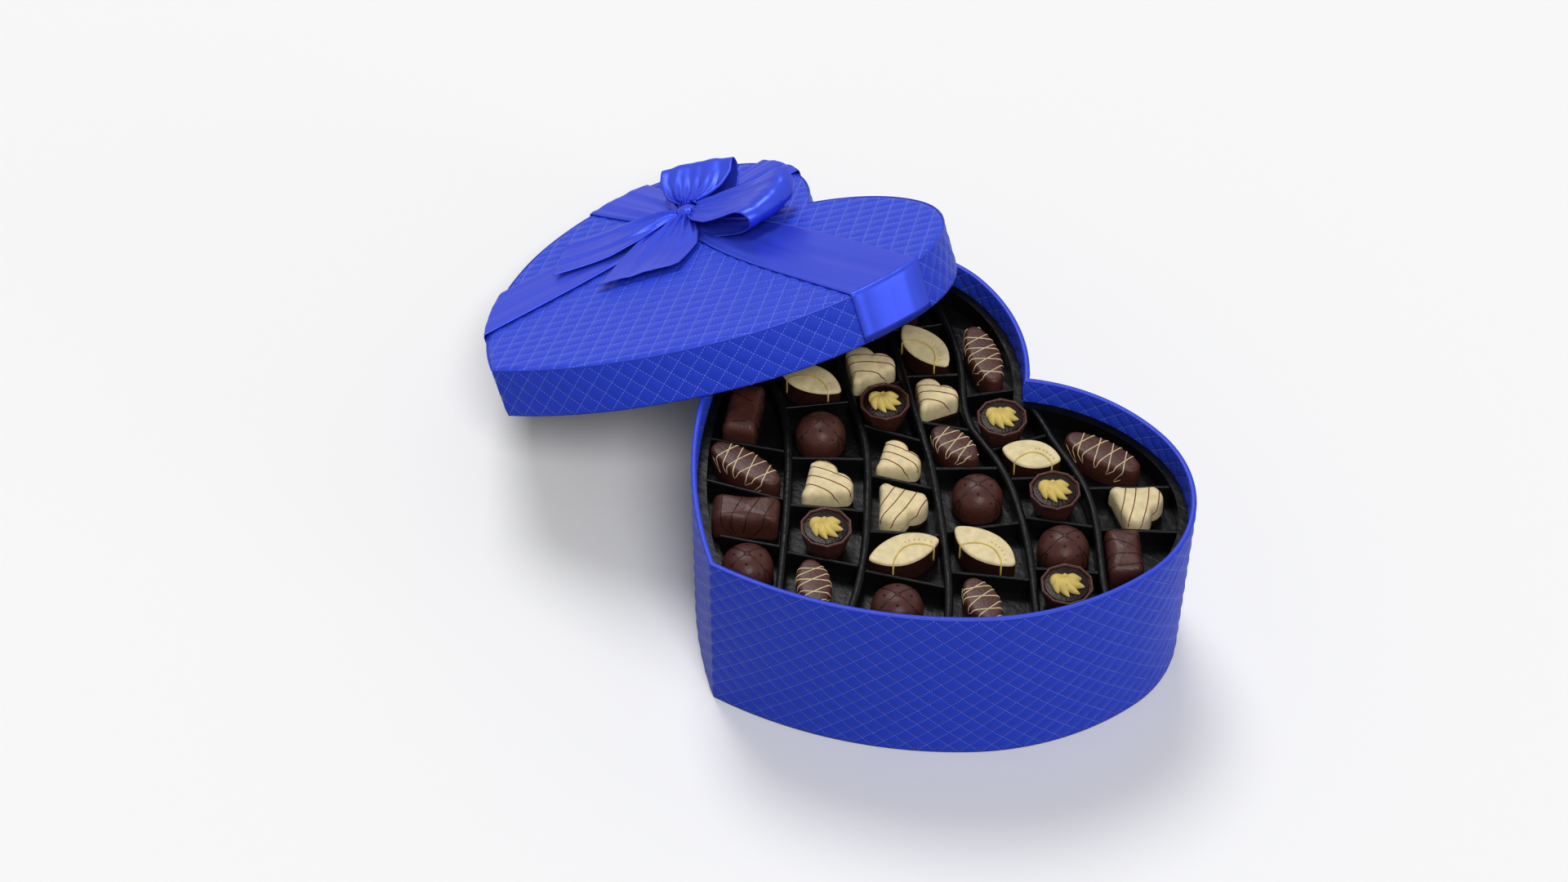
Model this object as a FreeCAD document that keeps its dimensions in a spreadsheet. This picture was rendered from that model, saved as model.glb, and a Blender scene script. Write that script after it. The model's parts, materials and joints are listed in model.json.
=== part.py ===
import FreeCAD, Part
import math
import os
import re
import Sketcher
from FreeCAD import Placement, Rotation, Vector

# Heart-shaped gift box of pralines, in millimetres. The base stands on the floor with its lid
# leaning on the left of it. The origin is the middle of the base's underside, the heart's point
# is at -Y, its notch at +Y, and +Z is up.

SIZES = {
    # heart outline, outside the base's cover
    "box_width": (280, "widest part of the heart"),
    "box_length": (241, "from the point to the top of the lobes"),
    "lobe_offset": (72, "middle line to the top of a lobe"),
    "notch_depth": (28.7, "top of the lobes down to the notch"),
    "flank_radius": (150, "round of the heart's shoulder"),
    "flank_sweep": (36, "degrees that the shoulder turns"),
    # base shell
    "base_height": (108.6, "floor to rim"),
    "bottom_board": (2, "bottom board thickness"),
    "wall_board": (1.6, "side board thickness"),
    "cover_thick": (0.6, "outer leatherette thickness"),
    "lining_thick": (0.5, "inner leatherette thickness"),
    "rim_edge": (1.2, "height of the turned edge along the rim"),
    "glue_line": (0.06, "room between glued layers"),
    # riser and tray
    "riser_fit": (0.5, "room around the riser and the tray"),
    "riser_board": (1.5, "riser collar thickness"),
    "deck_board": (2, "riser deck thickness"),
    "tray_drop": (15, "rim down to the top of the tray"),
    "tray_depth": (12.5, "top of the tray down to the cell floors"),
    "tray_sheet": (1, "moulded sheet thickness"),
    "flange_width": (3.5, "flat edge around the tray"),
    "divider_width": (4.4, "wavy dividers between the rows"),
    "cross_wall_width": (2, "walls between the cells of a row"),
    "cross_wall_drop": (1.8, "top of the dividers down to the cross walls"),
    "praline_gap": (0.3, "room under a praline"),
    # pralines
    "dome_width": (27, "domed truffle across"),
    "dome_height": (18.5, "domed truffle height"),
    "dome_round": (12, "round of the truffle's shoulder"),
    "log_length": (35, "praline bar length"),
    "short_log_length": (30, "short praline bar length"),
    "log_width": (18, "praline bar width"),
    "log_height": (17, "praline bar height"),
    "log_round": (6.5, "round along the bar's top"),
    "oval_length": (44, "drizzled oval length"),
    "short_oval_length": (31, "short drizzled oval length"),
    "oval_width": (17.5, "drizzled oval width"),
    "oval_end": (5, "round of the oval's ends, seen from above"),
    "oval_height": (15, "drizzled oval height"),
    "oval_round": (2.5, "round along the oval's top"),
    "cup_width": (27.5, "cup across its rim"),
    "cup_height": (17, "cup height"),
    "cup_sides": (10, "flat sides of the cup"),
    "cup_draft": (13, "degrees that the cup widens upwards"),
    "cup_lip": (1.5, "width of the cup's lip"),
    "cup_fill_drop": (1.2, "lip down to the filling"),
    "heart_width": (29, "white heart across"),
    "small_heart_width": (25, "small white heart across"),
    "heart_height": (16, "white heart height"),
    "heart_round": (4, "round along the heart's top"),
    "leaf_length": (38, "leaf praline length"),
    "small_leaf_length": (31, "small leaf praline length"),
    "leaf_width": (19.5, "leaf praline width"),
    "leaf_end": (2.5, "round of the leaf's tips, seen from above"),
    "leaf_height": (15.5, "leaf praline height"),
    "leaf_round": (1.5, "round along the leaf's top"),
    # lid
    "lid_height": (28.9, "lid's lower edge to the top of its cover"),
    "lid_fit": (0.4, "room between the base and the lid's inside"),
    "lid_wall": (1, "lid's side board thickness"),
    "lid_board": (2, "lid's top board thickness"),
    "lid_padding": (2.5, "foam under the lid's quilting"),
    "lid_cover": (0.5, "lid's leatherette thickness"),
    "lid_foot": (168.4, "base's side out to where the lid stands on the floor"),
    "lid_rest": (44.3, "base's side in to where the lid's edge lies on the rim"),
    "lid_gap": (0.25, "room under the lid at the floor and the rim"),
    # ribbon and bow, placed from the middle of the lid
    "ribbon_width": (45, "satin ribbon width"),
    "ribbon_thick": (0.6, "satin ribbon thickness"),
    "ribbon_hem": (0.8, "lid's lower edge up to the ribbon's end"),
    "ribbon_x": (-67, "middle of the lengthwise band"),
    "ribbon_y": (48, "middle of the crosswise band"),
    "knot_width": (17, "knot along the crosswise band"),
    "knot_depth": (15, "knot along the lengthwise band"),
    "knot_height": (9, "knot above the bands"),
    "knot_shift": (10, "bands' crossing to the knot"),
    "loop_length": (72, "knot to the end of a bow loop"),
    "loop_bulb": (11, "round of a loop's end"),
    "loop_rise": (3, "bands up to the lowest part of a loop"),
    "tail_length": (78, "knot to the cut end of a bow tail"),
    "tail_lift": (1.2, "bands up to the end of a tail"),
    "gather_width": (9, "ribbon gathered at the knot"),
    "knot_room": (0.3, "room between the knot and the bow's loops and tails"),
}

# Layout of the tray, drawn on a heart of this width and length and stretched with the box.
LAYOUT_WIDTH = 280
LAYOUT_LENGTH = 241

# Wavy dividers, each as the points that its middle line passes through.
DIVIDERS = [
    [(-108, -8), (-80, -14), (-54, -29), (-26, -51), (2, -75), (34, -104)],
    [(-136, 42), (-88, 30), (-58, 17), (-24, 0), (2, -20), (22, -37), (60, -80)],
    [(-140, 86), (-86, 66), (-38, 42), (0, 23), (30, 5), (60, -15), (80, -30), (100, -50)],
    [(-118, 110), (-80, 97), (-38, 77), (-4, 55), (18, 51), (50, 40), (86, 19), (126, -10)],
    [(-6, 89), (8, 89), (30, 83), (60, 76), (88, 62), (110, 46), (140, 26)],
]

# Cross walls, each from one end to the other.
CROSS_WALLS = [
    [(-92, -68), (-49, -33)],
    [(-64, -82), (-22, -54)],
    [(-24, -96), (2, -75)],
    [(-102, 2), (-88, 30)],
    [(-76, -16), (-57, 17)],
    [(-46, -36), (-20, -4)],
    [(-20, -56), (8, -27)],
    [(4, -77), (36, -52)],
    [(-92, 31), (-84, 64)],
    [(-58, 17), (-52, 50)],
    [(-42, 9), (-10, 29)],
    [(-11, -10), (19, 12)],
    [(19, -35), (46, -5)],
    [(37, -54), (74, -26)],
    [(-86, 66), (-72, 93)],
    [(-54, 51), (-37, 75)],
    [(-23, 36), (-2, 53)],
    [(7, 20), (28, 48)],
    [(44, -4), (64, 33)],
    [(66, -19), (97, 12)],
    [(-23, 66), (-7, 98)],
    [(15, 51), (26, 85)],
    [(36, 46), (58, 77)],
    [(61, 35), (90, 61)],
    [(90, 16), (115, 43)],
    [(66, 74), (94, 112)],
    [(91, 60), (124, 99)],
]

# Pralines: kind, place of the middle, and degrees turned.
PRALINES = [
    ("log", -86, -34, -47),
    ("oval", -53.5, -57.5, 14),
    ("log", -28, -76.5, 48),
    ("dome", -0.5, -96.5, 0),
    ("dome", -112, 20, 0),
    ("leaf", -81, 7, 26),
    ("dome", -50, -10, 0),
    ("white_heart", -18, -32, 4),
    ("cup", 9, -53, 0),
    ("short_oval", 32, -79, -28),
    ("cup", -108, 58, 0),
    ("white_heart", -70.5, 38.3, 27),
    ("cup", -41.5, 26.5, 0),
    ("small_heart", -8, 8, 0),
    ("white_heart", 17, -11, -94),
    ("leaf", 43.5, -29.5, 78),
    ("dome", 67, -53, 0),
    ("short_oval", -100.5, 87, -20),
    ("leaf", -62, 71.5, 4),
    ("small_heart", -31.2, 52.5, 22),
    ("short_oval", 2.5, 38.5, 6),
    ("dome", 35, 27, 0),
    ("leaf", 67, 4.5, 17),
    ("short_oval", 93, -19, -14),
    ("oval", -38, 93, -22),
    ("cup", 5.5, 68.5, 0),
    ("small_leaf", 33.5, 65, 44),
    ("cup", 61.5, 56.5, 0),
    ("dome", 89, 39, 0),
    ("cup", 113, 19.5, 0),
    ("oval", 55, 96, 18),
    ("white_heart", 91.7, 86.6, -73),
    ("short_log", 113, 59, -37),
]

# Points worked out on each side of a smooth strip between two of its own points, and the share
# of a rib's width that its top edges are rounded by.
SIDE_STEPS = 3
CREST_ROUND = 0.42

# A heart praline's lobe radius, tip radius, and lobe and tip centres above and below its middle,
# as shares of its width.
HEART_LOBE = 0.3
HEART_TIP = 0.1
LOBE_RISE = 0.09
TIP_DROP = 0.44

# Side views of the bow's ribbon. A loop's points are shares of its length, and of the round of
# its end above its lowest part. A tail's are shares of its length, and millimetres above its end.
LOOP_PATH = [(0.5, -0.1), (0.85, 0), (1, 1), (0.85, 2), (0.5, 1.3)]
LOOP_RETURN = 0.36
TAIL_PATH = [(0.25, 4), (0.45, 1.5), (0.65, 0.2), (0.85, 0), (1.05, 0), (1.2, 0)]
TAIL_START = 3.5
FULL_WIDTH_AT = 0.55

# Bow pieces: the way that each leaves the knot, in degrees from +X towards +Y, then a loop's share
# of the full length and round, or the slant of a tail's cut end in degrees.
BOW_LOOPS = {"right_loop": (18, 1), "left_loop": (133, 0.66)}
BOW_TAILS = {"left_tail": (-113, 14), "middle_tail": (-55, -16)}

doc = FreeCAD.newDocument("praline_box")
sizes = doc.addObject("Spreadsheet::Sheet", "Sizes")
for row, (alias, (number, note)) in enumerate(SIZES.items(), start=1):
    sizes.set(f"A{row}", alias)
    sizes.set(f"B{row}", str(number))
    sizes.set(f"C{row}", note)
    sizes.setAlias(f"B{row}", alias)
doc.recompute()

# Heights and insets that several pieces share, in terms of the sizes.
WALL_INSET = "(cover_thick + glue_line)"
LINING_INSET = f"({WALL_INSET} + wall_board + glue_line)"
INSIDE_INSET = f"({LINING_INSET} + lining_thick)"
TRAY_INSET = f"({INSIDE_INSET} + riser_fit)"
PAN_INSET = f"({TRAY_INSET} + flange_width)"
CELL_INSET = f"({PAN_INSET} + tray_sheet)"
WALL_TOP = "(base_height - rim_edge - glue_line)"
TRAY_TOP = "(base_height - tray_drop)"
CELL_FLOOR = f"({TRAY_TOP} - tray_depth)"
DECK_TOP = f"({CELL_FLOOR} - tray_sheet - glue_line)"
LID_INSIDE = "(0 - lid_fit)"
LID_SIDE = f"({LID_INSIDE} - lid_wall - glue_line)"
LID_OUTSIDE = f"({LID_SIDE} - lid_cover)"
LID_BOARD_BASE = "(lid_height - lid_cover - lid_padding - lid_board - 2 * glue_line)"
LID_REACH = f"(box_width / 2 - {LID_OUTSIDE})"
LID_TILT = "atan2(base_height + lid_gap; lid_foot + lid_rest)"
BAND_TOP = "(lid_height + 2 * (glue_line + ribbon_thick))"


def formula(text):
    """Point the size names in a formula at the sheet."""
    return re.sub(r"[a-z_]\w*", lambda m: f"Sizes.{m[0]}" if m[0] in SIZES else m[0], text)


def size(text):
    return float(sizes.evalExpression(formula(text)))


def bind(thing, **formulas):
    """Tie properties to formulas, with two underscores in a name for a dot."""
    for name, text in formulas.items():
        thing.setExpression(name.replace("__", "."), formula(text))


def drive(sketch, kind, *geometry_and_formula):
    """Add a constraint whose value follows a formula."""
    *geometry, text = geometry_and_formula
    index = sketch.addConstraint(Sketcher.Constraint(kind, *geometry, size(text)))
    sketch.setExpression(f"Constraints[{index}]", formula(text))


def hold(sketch, kind, *geometry):
    """Add a constraint that has no value."""
    sketch.addConstraint(Sketcher.Constraint(kind, *geometry))


def arc(centre, start, end):
    """Arc that turns anticlockwise about its centre."""
    angles = [math.atan2(p.y - centre.y, p.x - centre.x) for p in (start, end)]
    circle = Part.Circle(centre, Vector(0, 0, 1), (start - centre).Length)
    return Part.ArcOfCircle(circle, *angles)


def mirrored(point):
    return Vector(-point.x, point.y, point.z)


def lay_out(x, y):
    """Place of a layout point on this heart."""
    return Vector(x * size("box_width") / LAYOUT_WIDTH, y * size("box_length") / LAYOUT_LENGTH)


# Heart outline

def heart_outline():
    """Closed heart of four tangent arcs a side: notch, lobe, shoulder and flank."""
    half, top = size("box_width / 2"), size("box_length / 2")
    lobe, notch = size("lobe_offset"), size("notch_depth")
    shoulder, sweep = size("flank_radius"), math.radians(size("flank_sweep"))
    crown, cleft, point = Vector(lobe, top), Vector(0, top - notch), Vector(0, -top)
    lobe_centre = Vector(lobe, top - (half - lobe))
    side = Vector(half, lobe_centre.y)
    notch_centre = Vector(lobe, top - (lobe ** 2 + notch ** 2) / (2 * notch))
    shoulder_centre = Vector(half - shoulder, side.y)
    inward = Vector(-math.cos(sweep), math.sin(sweep))
    hip = shoulder_centre - inward * shoulder
    chord = point - hip
    flank_centre = hip + inward * (chord.dot(chord) / (2 * chord.dot(inward)))
    right = [(notch_centre, crown, cleft), (lobe_centre, side, crown),
             (shoulder_centre, hip, side), (flank_centre, point, hip)]

    sketch = doc.addObject("Sketcher::SketchObject", "heart_outline")
    for centre, start, end in right:
        sketch.addGeometry(arc(centre, start, end))
    for centre, start, end in right:
        sketch.addGeometry(arc(mirrored(centre), mirrored(end), mirrored(start)))
    for joint in ((0, 1, 1, 2), (1, 1, 2, 2), (4, 2, 5, 1), (5, 2, 6, 1), (6, 2, 7, 1),
                  (0, 2, 4, 1), (3, 1, 7, 2)):
        hold(sketch, "Coincident", *joint)
    for right_arc in range(4):
        hold(sketch, "Equal", right_arc, right_arc + 4)
    for right_arc in range(3):
        hold(sketch, "Symmetric", right_arc, 1, right_arc + 4, 2, -2)
    hold(sketch, "PointOnObject", 0, 2, -2)
    hold(sketch, "PointOnObject", 3, 1, -2)
    hold(sketch, "Vertical", 0, 1, 0, 3)
    hold(sketch, "Vertical", 0, 1, 1, 3)
    hold(sketch, "Horizontal", 1, 1, 1, 3)
    hold(sketch, "Horizontal", 2, 2, 2, 3)
    hold(sketch, "Tangent", 2, 1, 3, 2)
    drive(sketch, "DistanceX", -1, 1, 0, 1, "lobe_offset")
    drive(sketch, "DistanceY", -1, 1, 0, 1, "box_length / 2")
    drive(sketch, "DistanceY", 0, 2, 0, 1, "notch_depth")
    drive(sketch, "DistanceX", -1, 1, 1, 1, "box_width / 2")
    drive(sketch, "Radius", 2, "flank_radius")
    drive(sketch, "Angle", 2, "flank_sweep")
    drive(sketch, "DistanceY", 3, 1, -1, 1, "box_length / 2")
    doc.recompute()
    return sketch


outline = heart_outline()


def heart_plate(name, inset, bottom, height):
    """Heart-shaped plate, inset from the outline or, where the inset is negative, outset."""
    line = outline
    if inset != "0":
        line = doc.addObject("Part::Offset2D", name + "_line")
        line.Source = outline
        line.Join = "Tangent"
        bind(line, Value=f"0 - ({inset})")
    plate = doc.addObject("Part::Extrusion", name)
    plate.Base = line
    plate.DirMode = "Custom"
    plate.Dir = Vector(0, 0, 1)
    plate.Solid = True
    bind(plate, LengthFwd=height, Placement__Base__z=bottom)
    return plate


def boolean(kind, name, base, tool):
    result = doc.addObject(f"Part::{kind}", name)
    result.Base = base
    result.Tool = tool
    return result


def heart_ring(name, outer, inner, bottom, height):
    """Wall that follows the heart, between two insets."""
    body = heart_plate(name + "_outer", outer, bottom, height)
    hollow = heart_plate(name + "_hollow", inner, f"{bottom} - 1", f"{height} + 2")
    return boolean("Cut", name, body, hollow)


nodes = []


def keep(label, thing):
    """Name a finished piece and put it on the list of pieces."""
    thing.Label = label
    nodes.append(thing)
    return thing


# Base shell and riser

keep("base_bottom", heart_plate("bottom", INSIDE_INSET + " + glue_line", "0", "bottom_board"))
keep("base_cover", heart_ring("cover", "0", "cover_thick", "0", WALL_TOP))
keep("base_wall", heart_ring("wall", WALL_INSET, f"{WALL_INSET} + wall_board", "0", WALL_TOP))
keep("base_lining", heart_ring("lining", LINING_INSET, INSIDE_INSET, "0", WALL_TOP))
keep("rim_edging", heart_ring("rim", "0", INSIDE_INSET, "base_height - rim_edge", "rim_edge"))
collar_base = "bottom_board + glue_line"
collar_height = f"{DECK_TOP} - deck_board - glue_line - bottom_board - glue_line"
keep("riser_collar", heart_ring("collar", TRAY_INSET, f"{TRAY_INSET} + riser_board",
                                collar_base, collar_height))
keep("riser_deck", heart_plate("deck", TRAY_INSET, f"{DECK_TOP} - deck_board", "deck_board"))


# Tray

def strip(points, width):
    """Level face of even width along a smooth line through the points."""
    line = Part.BSplineCurve()
    line.interpolate(points)
    steps = SIDE_STEPS * (len(points) - 1)
    sides = []
    for sign in (-0.5, 0.5):
        side = []
        for step in range(steps + 1):
            at = line.FirstParameter + (line.LastParameter - line.FirstParameter) * step / steps
            along = line.tangent(at)[0]
            side.append(line.value(at) + Vector(-along.y, along.x) * (sign * width))
        sides.append(Part.BSplineCurve())
        sides[-1].interpolate(side)
    near = Part.makeLine(sides[0].StartPoint, sides[1].StartPoint)
    far = Part.makeLine(sides[0].EndPoint, sides[1].EndPoint)
    edges = [sides[0].toShape(), far, sides[1].toShape(), near]
    return Part.Face(Part.Wire(Part.__sortEdges__(edges)))


def rib(points, width, bottom, top):
    """Upright wall along a line, rounded along its top."""
    foot = strip([Vector(p.x, p.y, bottom) for p in points], width)
    wall = foot.extrude(Vector(0, 0, top - bottom))
    long_edges = [e for e in wall.Edges
                  if abs(e.BoundBox.ZMin - top) < 1e-6 and e.Length > 2 * width]
    return wall.makeFillet(CREST_ROUND * width, long_edges)


def moulded_tray():
    """Flanged pan with wavy dividers and lower cross walls standing on its floor."""
    pan = heart_ring("pan_wall", PAN_INSET, CELL_INSET, CELL_FLOOR, "tray_depth")
    floor = heart_plate("pan_floor", PAN_INSET, f"{CELL_FLOOR} - tray_sheet", "tray_sheet")
    flange = heart_ring("flange", TRAY_INSET, PAN_INSET, f"{TRAY_TOP} - tray_sheet", "tray_sheet")
    ribs = doc.addObject("Part::Feature", "ribs")
    foot, top = size(f"{CELL_FLOOR} - tray_sheet / 2"), size(TRAY_TOP)
    dividers = [rib([lay_out(*p) for p in points], size("divider_width"), foot, top)
                for points in DIVIDERS]
    walls = [rib([lay_out(*p) for p in points], size("cross_wall_width"), foot,
                 top - size("cross_wall_drop")) for points in CROSS_WALLS]
    ribs.Shape = dividers[0].fuse(dividers[1:] + walls)
    inside = heart_plate("cell_space", f"{PAN_INSET} + tray_sheet / 2", f"{CELL_FLOOR} - tray_sheet",
                         "tray_depth + tray_sheet")
    cells = boolean("Common", "cell_walls", ribs, inside)
    tray = doc.addObject("Part::MultiFuse", "moulded_tray")
    tray.Shapes = [pan, floor, flange, cells]
    return tray


keep("tray", moulded_tray())


# Pralines

def praline_sketch(body):
    sketch = body.newObject("Sketcher::SketchObject", body.Name + "_outline")
    plane = next(f for f in body.Origin.OriginFeatures if f.Role == "XY_Plane")
    sketch.AttachmentSupport = (plane, [""])
    sketch.MapMode = "FlatFace"
    return sketch


def round_outline(sketch, diameter):
    sketch.addGeometry(Part.Circle(Vector(), Vector(0, 0, 1), size(diameter) / 2))
    hold(sketch, "Coincident", 0, 3, -1, 1)
    drive(sketch, "Diameter", 0, diameter)


def bar_outline(sketch, length, width):
    x, y = size(length) / 2, size(width) / 2
    corners = [Vector(-x, -y), Vector(x, -y), Vector(x, y), Vector(-x, y)]
    for start, end in zip(corners, corners[1:] + corners[:1]):
        sketch.addGeometry(Part.LineSegment(start, end))
    for side in range(4):
        hold(sketch, "Coincident", side, 2, (side + 1) % 4, 1)
    for side in (0, 2):
        hold(sketch, "Horizontal", side)
        hold(sketch, "Vertical", side + 1)
    hold(sketch, "Symmetric", 0, 1, 1, 2, -1, 1)
    drive(sketch, "DistanceX", 0, 1, 0, 2, length)
    drive(sketch, "DistanceY", 1, 1, 1, 2, width)


def oval_outline(sketch, length, width, end_round):
    """Oval of two long arcs joined by two end arcs, tangent all round."""
    reach, rise, tip = size(length) / 2, size(width) / 2, size(end_round)
    offset, spare = reach - tip, rise - tip
    drop = (offset ** 2 - spare ** 2) / (2 * spare)
    slope = math.atan2(drop, offset)
    touch = Vector(offset, 0) + Vector(math.cos(slope), math.sin(slope)) * tip
    below = Vector(touch.x, -touch.y)
    sketch.addGeometry(arc(Vector(offset, 0), below, touch))
    sketch.addGeometry(arc(Vector(0, -drop), touch, mirrored(touch)))
    sketch.addGeometry(arc(Vector(-offset, 0), mirrored(touch), mirrored(below)))
    sketch.addGeometry(arc(Vector(0, drop), mirrored(below), below))
    for side in range(4):
        hold(sketch, "Tangent", side, 2, (side + 1) % 4, 1)
    hold(sketch, "PointOnObject", 0, 3, -1)
    hold(sketch, "PointOnObject", 2, 3, -1)
    hold(sketch, "PointOnObject", 1, 3, -2)
    hold(sketch, "Equal", 0, 2)
    hold(sketch, "Equal", 1, 3)
    offset_text = f"({length} / 2 - {end_round})"
    spare_text = f"({width} / 2 - {end_round})"
    drop_text = f"({offset_text}^2 - {spare_text}^2) / (2 * {spare_text})"
    drive(sketch, "Radius", 0, end_round)
    drive(sketch, "DistanceX", -1, 1, 0, 3, offset_text)
    drive(sketch, "Radius", 1, f"{width} / 2 + {drop_text}")


def polygon_outline(sketch, width, sides):
    """Regular polygon, as wide from corner to corner as the size says."""
    count = round(size(sides))
    ring = [Vector(math.cos(a), math.sin(a)) * (size(width) / 2)
            for a in (2 * math.pi * k / count for k in range(count))]
    for start, end in zip(ring, ring[1:] + ring[:1]):
        sketch.addGeometry(Part.LineSegment(start, end))
    circle = sketch.addGeometry(Part.Circle(Vector(), Vector(0, 0, 1), size(width) / 2), True)
    hold(sketch, "Coincident", circle, 3, -1, 1)
    for side in range(count):
        hold(sketch, "Coincident", side, 2, (side + 1) % count, 1)
        hold(sketch, "PointOnObject", side, 1, circle)
    for side in range(1, count):
        hold(sketch, "Equal", 0, side)
    hold(sketch, "PointOnObject", 0, 1, -1)
    drive(sketch, "Diameter", circle, width)


def little_heart_outline(sketch, width):
    """Plump heart: two lobe arcs that meet in the notch, two straight flanks and a round tip."""
    lobe, tip = size(width) * HEART_LOBE, size(width) * HEART_TIP
    centre = Vector(size(width) / 2 - lobe, size(width) * LOBE_RISE)
    tip_centre = Vector(0, -size(width) * TIP_DROP)
    cleft = Vector(0, centre.y + math.sqrt(lobe ** 2 - centre.x ** 2))
    span = centre - tip_centre
    lean = math.atan2(span.y, span.x) - math.acos((lobe - tip) / span.Length)
    across = Vector(math.cos(lean), math.sin(lean))
    hip, heel = centre + across * lobe, tip_centre + across * tip
    sketch.addGeometry(arc(centre, hip, cleft))
    sketch.addGeometry(arc(mirrored(centre), cleft, mirrored(hip)))
    sketch.addGeometry(Part.LineSegment(mirrored(hip), mirrored(heel)))
    sketch.addGeometry(arc(tip_centre, mirrored(heel), heel))
    sketch.addGeometry(Part.LineSegment(heel, hip))
    hold(sketch, "Coincident", 0, 2, 1, 1)
    for side in (1, 2, 3, 4):
        hold(sketch, "Tangent", side, 2, (side + 1) % 5, 1)
    hold(sketch, "Equal", 0, 1)
    hold(sketch, "Symmetric", 0, 3, 1, 3, -2)
    hold(sketch, "PointOnObject", 3, 3, -2)
    drive(sketch, "Radius", 0, f"{width} * {HEART_LOBE}")
    drive(sketch, "Radius", 3, f"{width} * {HEART_TIP}")
    drive(sketch, "DistanceX", -1, 1, 0, 3, f"{width} / 2 - {width} * {HEART_LOBE}")
    drive(sketch, "DistanceY", -1, 1, 0, 3, f"{width} * {LOBE_RISE}")
    drive(sketch, "DistanceY", 3, 3, -1, 1, f"{width} * {TIP_DROP}")


def level_edges(feature, height):
    """Names of a feature's edges that lie at one height."""
    return [f"Edge{k}" for k, edge in enumerate(feature.Shape.Edges, start=1)
            if max(abs(v.Z - height) for v in edge.Vertexes) < 1e-6]


def moulded(body, height, round_text):
    """Pad the body's outline to a height and round its top edge."""
    pad = body.newObject("PartDesign::Pad", body.Name + "_block")
    pad.Profile = body.Group[0]
    bind(pad, Length=height)
    doc.recompute([pad])
    crown = body.newObject("PartDesign::Fillet", body.Name + "_crown")
    crown.Base = (pad, level_edges(pad, size(height)))
    bind(crown, Radius=round_text)
    return body


def dome(body):
    round_outline(praline_sketch(body), "dome_width")
    return moulded(body, "dome_height", "dome_round")


def log(body, length="log_length"):
    bar_outline(praline_sketch(body), length, "log_width")
    return moulded(body, "log_height", "log_round")


def short_log(body):
    return log(body, "short_log_length")


def oval(body, length="oval_length"):
    oval_outline(praline_sketch(body), length, "oval_width", "oval_end")
    return moulded(body, "oval_height", "oval_round")


def short_oval(body):
    return oval(body, "short_oval_length")


def leaf(body, length="leaf_length"):
    oval_outline(praline_sketch(body), length, "leaf_width", "leaf_end")
    return moulded(body, "leaf_height", "leaf_round")


def small_leaf(body):
    return leaf(body, "small_leaf_length")


def white_heart(body, width="heart_width"):
    little_heart_outline(praline_sketch(body), width)
    return moulded(body, "heart_height", "heart_round")


def small_heart(body):
    return white_heart(body, "small_heart_width")


def cup(body):
    """Faceted cup, wider at its lip, with a shallow well for its filling."""
    polygon_outline(praline_sketch(body), "cup_width - 2 * cup_height * tan(cup_draft)", "cup_sides")
    pad = body.newObject("PartDesign::Pad", body.Name + "_block")
    pad.Profile = body.Group[0]
    bind(pad, Length="cup_height", TaperAngle="cup_draft")
    well_line = praline_sketch(body)
    bind(well_line, AttachmentOffset__Base__z="cup_height")
    polygon_outline(well_line, "cup_width - 2 * cup_lip", "cup_sides")
    well = body.newObject("PartDesign::Pocket", body.Name + "_well")
    well.Profile = well_line
    bind(well, Length="cup_fill_drop")
    return body


def lay_pralines():
    """Set every praline on the floor of its cell."""
    makers = {maker.__name__: maker for maker in (
        dome, log, short_log, oval, short_oval, leaf, small_leaf, white_heart, small_heart, cup)}
    counts = dict.fromkeys(makers, 0)
    for kind, x, y, turn in PRALINES:
        counts[kind] += 1
        label = f"{kind}_{counts[kind]}"
        body = makers[kind](doc.addObject("PartDesign::Body", label + "_body"))
        body.Placement = Placement(Vector(), Rotation(Vector(0, 0, 1), turn))
        bind(body, Placement__Base__x=f"{x} * box_width / {LAYOUT_WIDTH}",
             Placement__Base__y=f"{y} * box_length / {LAYOUT_LENGTH}",
             Placement__Base__z=f"{CELL_FLOOR} + praline_gap")
        keep(label, body)


lay_pralines()


# Lid, modelled level about the middle of its lower edge and then tilted into its place

def lean(thing, x="0", y="0", z="0"):
    """Tilt a lid piece so that the lid stands on the floor and lies on the base's rim."""
    thing.Placement = Placement(Vector(), Rotation(Vector(0, -1, 0), 1))
    along, up = f"({LID_REACH} + {x})", f"({z})"
    out = f"cos({LID_TILT}) * {along} - sin({LID_TILT}) * {up}"
    rise = f"sin({LID_TILT}) * {along} + cos({LID_TILT}) * {up}"
    bind(thing, Placement__Rotation__Angle=LID_TILT,
         Placement__Base__x=f"{out} - box_width / 2 - lid_foot",
         Placement__Base__y=y,
         Placement__Base__z=f"{rise} + lid_gap")
    return thing


def lid_plate(label, inset, bottom, height):
    keep(label, lean(heart_plate(label + "_plate", inset, "0", height), z=bottom))


def lid_ring(label, outer, inner, height):
    keep(label, lean(heart_ring(label + "_ring", outer, inner, "0", height)))


def band(label, layers_below, length_x, length_y, x, y):
    """Ribbon over the lid and down its sides, cut from a thin cap that follows the lid."""
    gap = f"({layers_below} * ribbon_thick + ({layers_below} + 1) * glue_line)"
    cap = heart_plate(label + "_cap", f"({LID_OUTSIDE} - {gap} - ribbon_thick)", "ribbon_hem",
                      f"lid_height + {gap} + ribbon_thick - ribbon_hem")
    core = heart_plate(label + "_core", f"({LID_OUTSIDE} - {gap})", "0", f"lid_height + {gap}")
    cut = doc.addObject("Part::Box", label + "_strip")
    bind(cut, Length=length_x, Width=length_y, Height="2 * lid_height",
         Placement__Base__x=f"{x} - ({length_x}) / 2", Placement__Base__y=f"{y} - ({length_y}) / 2")
    skin = boolean("Cut", label + "_skin", cap, core)
    keep(label, lean(boolean("Common", label + "_band", skin, cut)))


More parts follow.
